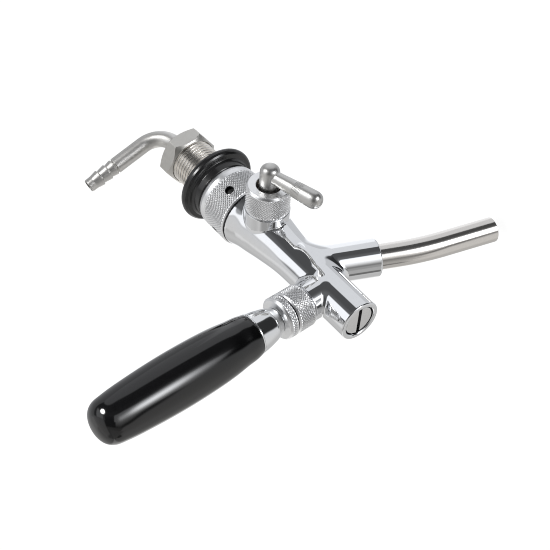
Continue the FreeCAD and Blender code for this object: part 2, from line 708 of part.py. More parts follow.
def make_ball_holders():
    """Seat under the ball, friction washer over it and the bonnet nut that holds both."""
    outer, seat_hole, seat_top = 6.65, 4.7, 17.0
    turned("ball_seat", LEVER, [
        (seat_hole, 12.55), (outer, 12.55), (outer, seat_top),
        (chord(socket, seat_top - ball_up), seat_top),
        (seat_hole, ball_up - chord(socket, seat_hole), 0, ball_up, False)])
    washer_hole, washer_low = 4.9, 19.0
    turned("friction_washer", LEVER, [
        (washer_hole, ball_up + chord(socket, washer_hole)),
        (chord(socket, washer_low - ball_up), washer_low, 0, ball_up, False),
        (outer, washer_low), (outer, 21.95), (washer_hole, 21.95)])
    rad, low = size.bonnet_rad, size.bonnet_low
    turned("bonnet_nut", LEVER, [
        (8.65, low), (rad - 0.5, low), (rad, low + 0.5), (rad, size.bonnet_rim), (9.5, 24.5),
        (6.05, 24.5), (5.1, 22.0), (8.65, 22.0)])


def make_lock_ring():
    """Its hollow underside is a sphere about the ball, to clear the bonnet as it tilts."""
    hollow, roof, mouth, rad = 12.0, 27.8, 9.75, size.bonnet_rad
    turned("handle_lock_ring", LEVER, [
        (stud_hole, roof), (chord(hollow, roof - ball_up), roof),
        (mouth, ball_up + chord(hollow, mouth), 0, ball_up, False), (rad, 25.25),
        (rad, 28.5), (9.85, 28.95), (9.3, 29.2), (6.2, 30.1), (stud_hole, 30.1)])


def make_handle():
    """Flared ferrule, insert on the stud and grip."""
    turned("handle_ferrule", LEVER, [
        (stud_hole, 30.15), (6.2, 30.15), (6.35, 31.0), (7.15, 32.8), (7.8, 34.2),
        (8.4, 36.4), (8.9, 38.7), (9.35, 41.4), (9.75, 44.3), (5.2, 44.3), (5.2, 40.0),
        (stud_hole, 38.0)])
    turned("handle_insert", LEVER, [
        (stud_hole, 40.3), (5.0, 40.3), (5.0, 66.0), (0, 66.0), (0, 65.0),
        (stud_hole, 65.0)])
    low, top = size.grip_low, size.grip_top
    turned("handle_grip", LEVER, [
        (5.05, low), (9.6, low), (9.85, low + 0.25), (10.3, low + 2.2), (10.8, 52.0),
        (11.4, 56.5), (12.0, 64.0), (12.35, 73.0), (12.45, 81.0), (12.35, 89.0),
        (12.05, 97.0), (11.6, 105.0), (11.05, 112.0), (10.5, 116.5), (9.7, top - 4.6),
        (8.5, top - 2.7), (6.6, top - 1.2), (4.0, top - 0.3), (0, top), (0, 66.1),
        (5.05, 66.1)])


# ---------------------------------------------------------------- spout
def make_spout():
    """Tube out of the spout boss with a slight bend towards upright, and its seal."""
    tube = new_body("spout_tube")
    lean = math.radians(size.spout_lean.value)
    bend = math.radians(SPOUT_BEND_ANGLE)
    before, after = spout_direction(lean), spout_direction(lean - bend)
    start, bend_in = spout_point(SPOUT_TUBE_START), spout_point(SPOUT_BEND_START)
    bend_out = bend_in + (before + after) * (SPOUT_BEND_RAD * math.tan(bend / 2))
    end = bend_out + after * SPOUT_END_LENGTH
    centre = bend_in + Vector(-before.y, before.x, 0) * SPOUT_BEND_RAD
    places = [(p.x, p.y) for p in (start, bend_in, centre, bend_out, end)]
    frame = Placement(Vector(0, start.x, start.y), SPOUT[0])
    for name, radius, cut in (("Outside", size.spout_rad, False),
                              ("Inside", size.spout_bore, True)):
        path = bent_path(tube, name + "Path", *places)
        section = circle(new_sketch(tube, name + "Section", "XY_Plane", frame), 0, 0, radius)
        sweep(tube, name, section, path, cut)
    ring("spout_seal", SPOUT, major=5.15, minor=0.8, along=21.0)


# ---------------------------------------------------------------- build, check and export
for make in (
        make_shank, make_wall_washer, make_inlet_seal, make_coupling_collar, make_tail_nut,
        make_tail_seal, make_elbow_tail, make_tap_body, make_front_plug, make_plunger,
        make_seat_washer, make_compensator_cone, make_flow_spindle, make_flow_gland,
        make_flow_lever, make_lever_stem, make_ball_holders, make_lock_ring, make_handle,
        make_spout):
    make()
doc.recompute()

failed = [obj.Label for obj in doc.Objects
          if any(word in obj.State for word in ("Invalid", "Error"))]
if failed:
    raise RuntimeError("failed: " + ", ".join(failed))
for node in nodes:
    shape = node.Shape
    if shape.isNull() or not shape.isValid() or shape.Volume <= 0:
        raise RuntimeError("bad shape: " + node.Label)

os.makedirs("parts", exist_ok=True)
for node in nodes:
    node.Shape.exportStep("parts/%s.step" % node.Label)
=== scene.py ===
import json
import math
import bmesh
import bpy
import numpy as np
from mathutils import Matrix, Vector

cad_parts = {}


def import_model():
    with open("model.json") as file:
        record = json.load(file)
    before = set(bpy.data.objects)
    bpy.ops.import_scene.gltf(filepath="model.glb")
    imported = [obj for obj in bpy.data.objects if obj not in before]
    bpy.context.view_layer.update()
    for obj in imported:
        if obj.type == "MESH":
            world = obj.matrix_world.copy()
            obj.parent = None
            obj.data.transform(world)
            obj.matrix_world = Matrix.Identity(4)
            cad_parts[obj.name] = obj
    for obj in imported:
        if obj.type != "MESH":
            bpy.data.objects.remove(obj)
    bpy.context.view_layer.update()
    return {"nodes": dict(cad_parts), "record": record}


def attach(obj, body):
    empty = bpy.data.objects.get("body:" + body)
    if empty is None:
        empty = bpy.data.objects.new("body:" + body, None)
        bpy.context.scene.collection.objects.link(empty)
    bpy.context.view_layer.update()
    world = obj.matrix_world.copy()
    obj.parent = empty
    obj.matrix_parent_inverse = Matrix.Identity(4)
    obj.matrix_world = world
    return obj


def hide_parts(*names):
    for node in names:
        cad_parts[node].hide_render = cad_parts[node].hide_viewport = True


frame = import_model()
MM = 0.001
TAU = 2 * math.pi


# ---------------------------------------------------------------- mesh helpers
def unit(v):
    v = np.asarray(v, float)
    return v / np.linalg.norm(v)


class Line:
    """A straight axis: origin o, direction a, and u the direction of angle zero."""
    def __init__(self, o, a, u):
        self.o, self.a = np.asarray(o, float), unit(a)
        self.u = unit(np.asarray(u, float) - np.dot(u, self.a) * self.a)
        self.v = np.cross(self.a, self.u)

    def at(self, s):
        return self.o + self.a * s, self.u, self.v, self.a


class Path:
    """A planar path of straight runs and arcs: start point, start direction, plane normal, [(length) or (radius, angle)]."""
    def __init__(self, o, d, n, runs, s0=0.0):
        self.n = unit(n)
        self.runs = []
        p, d, s = np.asarray(o, float), unit(d), s0
        for run in runs:
            if len(run) == 1:
                self.runs.append((s, s + run[0], p, d, None, None))
                p, s = p + d * run[0], s + run[0]
            else:
                rad, ang = run
                side = np.cross(self.n, d) * math.copysign(1, ang)
                c = p + side * rad
                self.runs.append((s, s + rad * abs(ang), p, d, c, (rad, ang)))
                ca, sa = math.cos(ang), math.sin(ang)
                q = p - c
                p = c + q * ca + np.cross(self.n, q) * sa
                d = d * ca + np.cross(self.n, d) * sa
                s = s + rad * abs(ang)

    def at(self, s):
        for k, (a, b, p, d, c, arc) in enumerate(self.runs):
            if s <= b or k == len(self.runs) - 1:
                break
        if arc is None:
            q, t = p + d * (s - a), d
        else:
            ang = (s - a) / arc[0] * math.copysign(1, arc[1])
            ca, sa = math.cos(ang), math.sin(ang)
            w = p - c
            q = c + w * ca + np.cross(self.n, w) * sa
            t = d * ca + np.cross(self.n, d) * sa
        return q, self.n, np.cross(t, self.n), t


def spline(pts, step):
    """Points of a natural cubic spline through pts, about step apart."""
    p = np.asarray(pts, float)
    t = np.concatenate([[0], np.cumsum(np.linalg.norm(np.diff(p, axis=0), axis=1))])
    n, h = len(t), np.diff(t)
    A, B = np.zeros((n, n)), np.zeros((n, p.shape[1]))
    A[0, 0] = A[-1, -1] = 1
    for i in range(1, n - 1):
        A[i, i - 1], A[i, i], A[i, i + 1] = h[i - 1], 2 * (h[i - 1] + h[i]), h[i]
        B[i] = 6 * ((p[i + 1] - p[i]) / h[i] - (p[i] - p[i - 1]) / h[i - 1])
    m = np.linalg.solve(A, B)
    out = []
    for i in range(n - 1):
        k = max(2, int(math.ceil(h[i] / step)))
        for q in range(k):
            x = h[i] * q / k
            a, b = (h[i] - x), x
            out.append(m[i] * a ** 3 / (6 * h[i]) + m[i + 1] * b ** 3 / (6 * h[i])
                       + (p[i] / h[i] - m[i] * h[i] / 6) * a + (p[i + 1] / h[i] - m[i + 1] * h[i] / 6) * b)
    out.append(p[-1])
    return np.array(out)


def stations(profile, closed):
    """profile: (r, s, f[, band]); f > 0 rounds the corner, 0 keeps it sharp, 's' is smooth. Returns stations r, s, n_in, n_out, band."""
    pts = [(p[0], p[1]) for p in profile]
    area = sum(pts[i][0] * pts[(i + 1) % len(pts)][1] - pts[(i + 1) % len(pts)][0] * pts[i][1] for i in range(len(pts)))
    if area < 0:
        rev = list(profile)[::-1]
        moved = []
        for i, p in enumerate(rev):
            nxt = rev[(i + 1) % len(rev)]
            moved.append((p[0], p[1], p[2]) + ((nxt[3],) if len(nxt) > 3 else ()))
        profile = moved
    n = len(profile)
    st = []
    for i, p in enumerate(profile):
        c = np.array(p[:2], float)
        band = p[3] if len(p) > 3 else None
        first, last = (not closed and i == 0), (not closed and i == n - 1)
        pr, nx = np.array(profile[(i - 1) % n][:2], float), np.array(profile[(i + 1) % n][:2], float)
        d0 = unit(c - pr) if not first else unit(nx - c)
        d1 = unit(nx - c) if not last else unit(c - pr)
        n0, n1 = np.array([d0[1], -d0[0]]), np.array([d1[1], -d1[0]])
        f = p[2]
        if first or last:
            pole = c[0] < 1e-9 and f == "s"
            m = np.array([0, math.copysign(1, (n0 + n1)[1])]) if pole else n0
            st.append([c[0], c[1], m, m, band])
        elif f == "s":
            m = unit(n0 / max(1e-6, np.linalg.norm(c - pr)) + n1 / max(1e-6, np.linalg.norm(nx - c)))
            st.append([c[0], c[1], m, m, band])
        elif f == 0:
            st.append([c[0], c[1], n0, n1, band])
        else:
            turn = math.atan2(d0[0] * d1[1] - d0[1] * d1[0], float(np.dot(d0, d1)))
            if abs(turn) < 1e-3:
                st.append([c[0], c[1], n0, n1, band])
                continue
            t = f * math.tan(abs(turn) / 2)
            lim = 0.48 * min(np.linalg.norm(c - pr), np.linalg.norm(nx - c))
            if t > lim:
                f, t = f * lim / t, lim
            a = c - d0 * t
            k = max(2, int(math.ceil(abs(turn) / math.radians(11))))
            side = np.array([-d0[1], d0[0]]) * math.copysign(1, turn)
            o = a + side * f
            for q in range(k + 1):
                ang = turn * q / k
                ca, sa = math.cos(ang), math.sin(ang)
                w = a - o
                pt = o + np.array([w[0] * ca - w[1] * sa, w[0] * sa + w[1] * ca])
                m = np.array([n0[0] * ca - n0[1] * sa, n0[0] * sa + n0[1] * ca])
                st.append([pt[0], pt[1], m, m, band if q == k else None])
    return st


def cyl3(m, M):
    out = np.zeros((M, 3))
    out[:, 0], out[:, 2] = m[0], m[1]
    return out


def knurl_rows(a, b, band, M):
    """Rows between stations a and b carrying a diamond knurl on a quarter-cell lattice."""
    kind, depth, pitch = band[0], band[1], band[2]
    N = M // 4
    length = abs(b[1] - a[1])
    cells = max(1, round(length / pitch))
    K = cells * 4
    rows, gaps = [], []
    th = np.arange(M) / M * TAU
    for k in range(1, K):
        q = k / K
        u, v = np.arange(M) / 4.0, k / 4.0
        ta = 1 - np.abs(2 * ((u + v) % 1) - 1)
        tb = 1 - np.abs(2 * ((u - v) % 1) - 1)
        h = np.minimum(np.minimum(ta, tb), 0.8) / 0.8
        edge = min(1.0, k / 2.0, (K - k) / 2.0)
        r = (a[0] + (b[0] - a[0]) * q) - depth * (1 - h) * edge
        # g is painted shade in the knurl grooves: 1 on the crests, lower down in the grooves
        rows.append({"th": th.copy(), "s": np.full(M, a[1] + (b[1] - a[1]) * q), "r": r, "g": 1 - (1 - h) * edge})
    for k in range(K):
        u, v = np.arange(M) / 4.0 + 0.125, k / 4.0 + 0.125
        ta = 1 - np.abs(2 * ((u + v) % 1) - 1)
        tb = 1 - np.abs(2 * ((u - v) % 1) - 1)
        gaps.append(("flat", tb < ta))
    return rows, gaps


def thread_rows(a, b, band, M):
    """Rows between stations a and b carrying a right-hand 55 degree thread with rounded crests."""
    kind, depth, pitch, fade = band
    length = b[1] - a[1]
    K = int(abs(length) / pitch * 14)
    th = np.arange(M) / M * TAU

    def rad(t, s):
        x = (s / pitch - t / TAU) % 1.0
        tri = np.abs(2 * x - 1)
        h = np.clip((tri - 0.17) / 0.66, 0, 1)
        h = h * h * (3 - 2 * h) * 0.55 + h * 0.45
        w = 1.0
        if fade:
            w = np.clip(np.minimum(np.abs(s - a[1]), np.abs(b[1] - s)) / fade, 0, 1)
        return (a[0] + (b[0] - a[0]) * (s - a[1]) / length) - depth * (1 - h) * w

    rows, norms = [], []
    for k in range(0, K + 1):
        s = a[1] + length * k / K
        r = rad(th, s)
        e = 0.02
        dr_t = (rad(th + e, s) - rad(th - e, s)) / (2 * e)
        dr_s = (rad(th, s + e) - rad(th, s - e)) / (2 * e)
        m = np.stack([np.ones(M), -dr_t / r, -dr_s], 1) * (1 if length > 0 else 1)
        m /= np.linalg.norm(m, axis=1)[:, None]
        norms.append(m)
        if 0 < k < K:
            rows.append({"th": th.copy(), "s": np.full(M, s), "r": r})
    gaps = [(norms[k], norms[k + 1]) for k in range(K)]
    return rows, gaps


def revolve(profile, M, closed):
    st = stations(profile, closed)
    rows, gaps = [], []
    n = len(st)
    th = np.arange(M) / M * TAU
    for i, a in enumerate(st):
        if a[0] < 1e-9:
            rows.append({"pole": a[1]})
        else:
            rows.append({"th": th.copy(), "s": np.full(M, a[1]), "r": np.full(M, a[0])})
        if i == n - 1 and not closed:
            break
        b = st[(i + 1) % n]
        if a[4] is not None:
            f = knurl_rows if a[4][0] == "knurl" else thread_rows
            rr, gg = f(a, b, a[4], M)
            rows += rr
            gaps += gg
        else:
            gaps.append((cyl3(a[3], M), cyl3(b[2], M)))
    return rows, gaps


def build(name, ax, rows, gaps, closed, body, slot, replaces):
    """Mesh from rows of points round an axis or path, with a normal for every corner."""
    M = max(len(r["th"]) for r in rows if "th" in r)
    verts, base, loc = [], [], []
    # per-vertex painted shade of recesses: knurl grooves, spanner holes and hidden gaps
    groove = np.concatenate([np.ones(1) if "pole" in r else r.get("g", np.ones(len(r["th"]))) for r in rows])
    count = 0
    for r in rows:
        base.append(count)
        if "pole" in r:
            o, u, v, a = ax.at(r["pole"])
            verts.append(o[None, :])
            loc.append(np.array([[0, 0, r["pole"]]]))
            count += 1
        else:
            frames = ax.at(float(r["s"][0])) if np.ptp(r["s"]) < 1e-12 else None
            c, s = np.cos(r["th"]), np.sin(r["th"])
            if frames is not None:
                o, u, v, a = frames
                p = o[None, :] + (u[None, :] * c[:, None] + v[None, :] * s[:, None]) * r["r"][:, None]
            else:
                o, u, v, a = ax.at(0.0)
                p = o[None, :] + a[None, :] * r["s"][:, None] + (u[None, :] * c[:, None] + v[None, :] * s[:, None]) * r["r"][:, None]
            verts.append(p)
            loc.append(np.stack([c * r["r"], s * r["r"], r["s"]], 1))
            count += M
    V = np.concatenate(verts)
    faces, norms = [], []

    def world(row, m):
        if "pole" in row:
            o, u, v, a = ax.at(row["pole"])
            th = np.arange(M) / M * TAU
        else:
            o, u, v, a = ax.at(float(row["s"][0]))
            th = row["th"]
        c, s = np.cos(th)[:, None], np.sin(th)[:, None]
        return (u * c + v * s) * m[:, :1] + (v * c - u * s) * m[:, 1:2] + a * m[:, 2:3]

    j = np.arange(M)
    j1 = (j + 1) % M
    quads, qn, tris, tn = [], [], [], []
    K = len(rows)
    for k, g in enumerate(gaps):
        A, B = rows[k], rows[(k + 1) % K]
        a0, b0 = base[k], base[(k + 1) % K]
        if isinstance(g[0], str):
            ia, ia1, ib, ib1 = a0 + j, a0 + j1, b0 + j, b0 + j1
            if "pole" in A or "pole" in B:
                raise ValueError("flat gap at a pole")
            up = g[1]
            t1 = np.where(up[:, None], np.stack([ia, ia1, ib1], 1), np.stack([ia, ia1, ib], 1))
            t2 = np.where(up[:, None], np.stack([ia, ib1, ib], 1), np.stack([ia1, ib1, ib], 1))
            for t in (t1, t2):
                fn = np.cross(V[t[:, 1]] - V[t[:, 0]], V[t[:, 2]] - V[t[:, 0]])
                fn /= np.maximum(np.linalg.norm(fn, axis=1), 1e-12)[:, None]
                tris.append(t)
                tn.append(np.repeat(fn[:, None, :], 3, axis=1))
            continue
        na, nb = world(A, g[0]), world(B, g[1])
        if "pole" in A:
            tris.append(np.stack([np.full(M, a0), b0 + j1, b0 + j], 1))
            mid = na if not np.allclose(g[0][:, 0], 0) else na
            tn.append(np.stack([mid, nb[j1], nb], 1))
        elif "pole" in B:
            tris.append(np.stack([a0 + j, a0 + j1, np.full(M, b0)], 1))
            tn.append(np.stack([na, na[j1], nb], 1))
        else:
            quads.append(np.stack([a0 + j, a0 + j1, b0 + j1, b0 + j], 1))
            qn.append(np.stack([na, na[j1], nb[j1], nb], 1))
    return make(name, V, quads, qn, tris, tn, np.concatenate(loc), body, slot, replaces, groove)


def make(name, V, quads, qn, tris, tn, loc, body, slot, replaces, groove=None):
    me = bpy.data.meshes.new(name)
    lv, ls, tot, nn = [], [], [], []
    at = 0
    for group, norm, w in ((quads, qn, 4), (tris, tn, 3)):
        for f, m in zip(group, norm):
            lv.append(f.reshape(-1))
            nn.append(m.reshape(-1, 3))
            ls.append(at + np.arange(len(f)) * w)
            at += len(f) * w
    lv, nn, ls = np.concatenate(lv), np.concatenate(nn), np.concatenate(ls)
    me.vertices.add(len(V))
    me.vertices.foreach_set("co", (V * MM).astype(np.float32).reshape(-1))
    me.loops.add(len(lv))
    me.loops.foreach_set("vertex_index", lv.astype(np.int32))
    me.polygons.add(len(ls))
    me.polygons.foreach_set("loop_start", ls.astype(np.int32))
    me.update(calc_edges=True)
    me.polygons.foreach_set("use_smooth", np.ones(len(ls), bool))
    at = me.attributes.new("loc", "FLOAT_VECTOR", "POINT")
    at.data.foreach_set("vector", (loc * MM).astype(np.float32).reshape(-1))
    # painted shade of recesses, read by the material to darken grooves, holes and gaps
    at = me.attributes.new("groove", "FLOAT", "POINT")
    at.data.foreach_set("value", (np.ones(len(V)) if groove is None else groove).astype(np.float32))
    nn = nn / np.maximum(np.linalg.norm(nn, axis=1), 1e-9)[:, None]
    me.normals_split_custom_set(nn.tolist())
    ob = bpy.data.objects.new(name, me)
    bpy.context.scene.collection.objects.link(ob)
    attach(ob, body)
    if replaces:
        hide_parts(replaces)
    ob["slot"] = slot
    MADE.append(ob)
    return ob


MADE = []


def turned(name, ax, profile, M, closed, body, slot, node, warp=None):
    rows, gaps = revolve(profile, M, closed)
    if warp:
        warp(rows, gaps)
    return build(name, ax, rows, gaps, closed, body, slot, node)


# ---------------------------------------------------------------- axes of the tap
TAP = Line((0, 0, 0), (0, 1, 0), (1, 0, 0))
lean = math.radians(3.38)
LEV = Line((0, -86.9, 0), (0, -math.sin(lean), math.cos(lean)), (1, 0, 0))
FLOW = Line((0, -41.6, 0), (1, 0, 0), (0, 1, 0))
ga = math.radians(14.5)
ARM = Line((34.6, -41.6, 0), (0, -math.cos(ga), -math.sin(ga)), (1, 0, 0))
sa = math.radians(21.7)
SPO = Line((0, -71.2, 0), (0, -math.sin(sa), -math.cos(sa)), (1, 0, 0))


def s_(pts):
    return [(r, s, "s") for r, s in pts]


# wall washer
turned("v_wall_washer", TAP, [(11.6, -9.9, 0.2), (15.2, -9.9, 0.35), (15.6, -9.5, 0.3), (15.85, -6.4, 0.5), (16.5, -5.25, 0.8), (17.3, -5.0, 0.6),
                              (18.6, -4.7, 0.9), (19.45, -3.9, 0.9), (19.8, -2.9, 0.8), (19.8, -1.9, 0.8), (19.45, -0.9, 0.7), (18.6, -0.2, 0.5),
                              (17.6, 0, 0.4), (11.6, 0, 0.2)], 192, True, "tap", "washer_black", "wall_washer")

# coupling collar with its hook-spanner holes
NC = 68
HOLE_S = -21.9


def punch(rows, gaps):
    """Four round spanner holes pressed into the knurled band by drawing its lattice round them."""
    band = [k for k, r in enumerate(rows) if "th" in r and abs(r["r"].max() - 16.35) < 0.25 and -28.9 < r["s"][0] < -15.1]
    ks = np.array(sorted(band, key=lambda k: rows[k]["s"][0]))
    S = np.array([rows[k]["s"][0] for k in ks])
    M = len(rows[ks[0]]["th"])
    ds = abs(S[1] - S[0])
    dth = TAU / M
    kc = int(np.argmin(np.abs(S - HOLE_S)))
    for q in range(4):
        a0 = math.radians(-26.6) + q * TAU / 4
        jc = int(round(a0 / dth)) % M
        J0, J1 = 4, 7
        for dk in range(-J1, J1 + 1):
            for dj in range(-J1, J1 + 1):
                ring = max(abs(dk), abs(dj))
                if not 0 <= kc + dk < len(ks):
                    continue
                row = rows[ks[kc + dk]]
                j = (jc + dj) % M
                x, y = dj * dth * 16.2, dk * ds
                if ring == 0:
                    ux, uy, rad = 0.0, 0.0, 0.0
                else:
                    ang = math.atan2(dk, dj)
                    ux, uy = math.cos(ang), math.sin(ang)
                    sq = math.hypot(x, y)
                    rad = sq
                depth = 0.0
                if ring <= J0 - 2:
                    rad, depth = 1.85 * ring / (J0 - 2), 1.9
                elif ring == J0 - 1:
                    rad, depth = 1.98, 0.35
                elif ring == J0:
                    rad, depth = 2.25, 0.08
                elif ring < J1:
                    w = (ring - J0) / (J1 - J0)
                    w = w * w * (3 - 2 * w)
                    rad = (2.25 + (ring - J0) * 0.38) * (1 - w) + math.hypot(x, y) * w
                    ang2 = math.atan2(y, x)
                    ux, uy = ux * (1 - w) + math.cos(ang2) * w, uy * (1 - w) + math.sin(ang2) * w
                    l = math.hypot(ux, uy)
                    ux, uy = ux / l, uy / l
                else:
                    continue
                row["th"][j] = jc * dth + ux * rad / 16.2
                row["s"][j] = S[kc] + uy * rad
                # painted shade: the hole's walls and floor are painted near-black, its rim dark grey
                if ring <= J0:
                    row["r"][j] = 16.33 - depth
                    row["g"][j] = -0.3 if ring == J0 else -1.0


def shade(test, value=-1.0):
    """Mark the rows of a hidden gap with painted shade: the plating there is painted dark for the shadow in the gap."""
    def run(rows, gaps):
        for row in rows:
            if "th" in row and test(float(row["r"][0]), float(row["s"][0])):
                # painted shade: these rows go near-black in the material
                row["g"] = np.full(len(row["th"]), value)
    return run


def collar_gap_shade_and_holes(rows, gaps):
    # painted shade in the gap where the collar's rear edge meets the body
    shade(lambda r, s: s < -29.15 and r < 15.8, -0.5)(rows, gaps)
    punch(rows, gaps)


turned("v_coupling_collar", TAP, [(11.6, -10, 0.1), (15.1, -10, 0.4), (15.85, -10.9, 0.9), (16.25, -12.6, 0.8), (16.12, -14.7, 0.3), (16.33, -15.0, 0.0, ("knurl", 0.36, 1.5)),
                                  (16.35, -29.1, 0.0), (16.1, -29.5, 0.12), (15.5, -29.55, 0.1), (15.3, -29.2, 0.1), (14.25, -29.2, 0.1), (14.25, -13.05, 0.2), (11.6, -13.05, 0.1)],
       NC * 4, True, "tap", "chrome_knurled", "coupling_collar", collar_gap_shade_and_holes)

# shank with its thread
turned("v_shank", TAP, [(5.0, -17.1, 0.2), (13.6, -17.1, 0.3), (13.6, -13.1, 0.3), (11.45, -13.1, 0.2), (11.45, -9.0, 0.0, ("thread", 1.1, 1.814, 1.2)),
                        (11.45, 20.9, 0.0), (10.65, 21.5, 0.2), (5.0, 21.5, 0.3)], 128, True, "tap", "stainless_turned", "shank")


# hexagonal tail nut
def hexnut():
    R, flat = 14.43, 12.5
    per = 26
    rc = 0.55
    cols = []
    for c in range(6):
        mid = math.radians(-37.6 + 60 * c)
        tan_half = rc * math.tan(math.radians(30))
        arc_c = R - rc / math.cos(math.radians(30))
        for q in range(7):
            al = math.radians(-30 + 60 * q / 6)
            x, y = arc_c + rc * math.cos(al), rc * math.sin(al)
            cols.append((mid + math.atan2(y, x), math.hypot(x, y), mid + al))
        fa = mid + math.radians(30)
        half = flat * math.tan(math.radians(30)) - tan_half
        for q in range(1, per - 7):
            t = -half + 2 * half * q / (per - 7)
            cols.append((fa + math.atan2(t, flat), math.hypot(flat, t), fa))
    cols.sort(key=lambda c: c[0])
    th = np.array([c[0] for c in cols])
    rad = np.array([c[1] for c in cols])
    nang = np.array([c[2] for c in cols])
    M = len(cols)

    def circ(r, s):
        return {"th": th.copy(), "s": np.full(M, float(s)), "r": np.full(M, float(r))}

    side = np.stack([np.cos(nang - th), np.sin(nang - th), np.zeros(M)], 1)
    slope = math.tan(math.radians(32))
    rows, gaps = [], []

    def add(row, gap):
        rows.append(row)
        gaps.append(gap)

    def n(nr, ns):
        l = math.hypot(nr, ns)
        return cyl3((nr / l, ns / l), M)

    y0, y1, rf = 17.45, 26.8, 12.05
    s0 = y0 + 0.15 + (rad - rf) * 1.0
    s1 = y1 - 0.15 - (rad - rf) * slope
    add(circ(11.75, 17.95), (n(-1, 0), n(-1, 0)))
    add(circ(11.75, y0 + .15), (n(-1, -1), n(-1, -1)))
    add(circ(11.9, y0), (n(0, -1), n(0, -1)))
    add(circ(rf - .25, y0), (n(0, -1), n(0.707, -0.707)))
    add(circ(rf, y0 + .15), (n(0.707, -0.707),) * 2)
    lo, hi = {"th": th.copy(), "s": s0, "r": rad.copy()}, {"th": th.copy(), "s": s1, "r": rad.copy()}
    lo2, hi2 = {"th": th.copy(), "s": s0 + 0.18, "r": rad.copy()}, {"th": th.copy(), "s": s1 - 0.18, "r": rad.copy()}
    mixn = side + n(math.sin(math.radians(32)), -math.cos(math.radians(32)))
    mixn /= np.linalg.norm(mixn, axis=1)[:, None]
    mixp = mixn * np.array([1, 1, -1])
    mixn = side + n(0.707, -0.707)
    mixn /= np.linalg.norm(mixn, axis=1)[:, None]
    add(lo, (mixn, side))
    add(lo2, (side, side))
    add(hi2, (side, mixp))
    add(hi, (n(math.sin(math.radians(32)), math.cos(math.radians(32))),) * 2)
    add(circ(rf, y1 - .15), (n(math.sin(math.radians(32)), math.cos(math.radians(32))), n(0, 1)))
    add(circ(rf - .25, y1), (n(0, 1), n(0, 1)))
    add(circ(5.5, y1), (n(-1, 1), n(-1, 1)))
    add(circ(5.2, y1 - .3), (n(-1, 0), n(-1, 0)))
    add(circ(5.2, 24.9), (n(0, -1), n(0, -1)))
    add(circ(11.5, 24.9), (n(-1, 0), n(-1, 0)))
    add(circ(11.5, 17.95), (n(0, -1), n(0, -1)))
    build("v_tail_nut", TAP, rows, gaps, True, "tap", "stainless_turned", "tail_nut")


hexnut()

# bent hose tail with barbs
ta = math.radians(20)
leg = np.array([-math.sin(ta), 0, math.cos(ta)])
TAIL = Path((0, 23.2, 0), (0, 1, 0), np.cross((0, 1, 0), leg), [(10.3,), (12.0, math.pi / 2), (34.0,)], 23.2)
L1 = 33.5 + 12 * math.pi / 2
LE = L1 + 34.0
bend = [(4.1, 33.5 + 12 * math.pi / 2 * q / 24, "s") for q in range(25)]
ibend = [(3.1, 33.5 + 12 * math.pi / 2 * q / 24, "s") for q in range(24, -1, -1)]
turned("v_elbow_tail", TAIL, [(3.1, 23.2, 0.2), (10.4, 23.2, 0.2), (10.4, 24.7, 0.2), (5.1, 24.7, 0.2), (5.1, 26.9, 0.25), (4.1, 27.2, 0.1)] + bend
       + [(4.1, LE - 18.2, "s"), (4.1, LE - 16.9, 0.25), (3.45, LE - 16.6, 0.12), (3.45, LE - 16.3, 0.1), (4.1, LE - 15.9, 0.15), (4.05, LE - 15.3, 0.4), (3.45, LE - 12.4, 0.2),
          (4.12, LE - 12.0, 0.15), (4.05, LE - 11.4, 0.4), (3.45, LE - 7.6, 0.2), (4.12, LE - 7.2, 0.15), (4.05, LE - 6.6, 0.4), (3.45, LE - 3.2, 0.3),
          (3.4, LE - 0.5, 0.3), (3.15, LE - 0.02, 0.1), (3.1, LE, 0.05)] + ibend, 64, True, "hose_tail", "stainless_turned", "elbow_tail")

# front plug with its screwdriver slot
def slotted():
    M = 240
    prof = [(0, -109.35, 0), (6.9, -109.35, 0.25), (7.15, -109.1, 0.2), (7.15, -107.1, 0.1), (7.62, -106.7, 0.1), (7.62, -102, 0.1), (5.6, -102, 0.1),
            (5.6, -100.2, 0.1), (0, -100.2, 0)]
    ob = turned("v_front_plug", TAP, prof, M, False, "tap", "stainless_satin", "front_plug")
    bpy.ops.mesh.primitive_cube_add(size=1)
    cut = bpy.context.object
    cut.name = "slot_cutter"
    cut.scale = (16 * MM, 3.4 * MM, 1.85 * MM)
    cut.location = (0, -109.35 * MM, 0)
    m = ob.modifiers.new("slot", "BOOLEAN")
    m.operation, m.solver, m.object = "DIFFERENCE", "EXACT", cut
    bpy.context.view_layer.update()
    dg = bpy.context.evaluated_depsgraph_get()
    me = bpy.data.meshes.new_from_object(ob.evaluated_get(dg), preserve_all_data_layers=True, depsgraph=dg)
    ob.modifiers.clear()
    for nm in ("custom_normal", "sharp_edge", "sharp_face"):
        if nm in me.attributes:
            me.attributes.remove(me.attributes[nm])
    bm = bmesh.new()
    bm.from_mesh(me)
    bmesh.ops.remove_doubles(bm, verts=bm.verts, dist=1e-7)
    bmesh.ops.holes_fill(bm, edges=[e for e in bm.edges if len(e.link_faces) == 1], sides=0)
    bm.to_mesh(me)
    bm.free()
    ob.data = me
    bpy.data.objects.remove(cut)
    me.set_sharp_from_angle(angle=math.radians(24))
    bv = ob.modifiers.new("edge", "BEVEL")
    bv.width, bv.segments, bv.limit_method, bv.angle_limit, bv.harden_normals = 0.09 * MM, 2, "ANGLE", math.radians(50), True
    return ob


slotted()

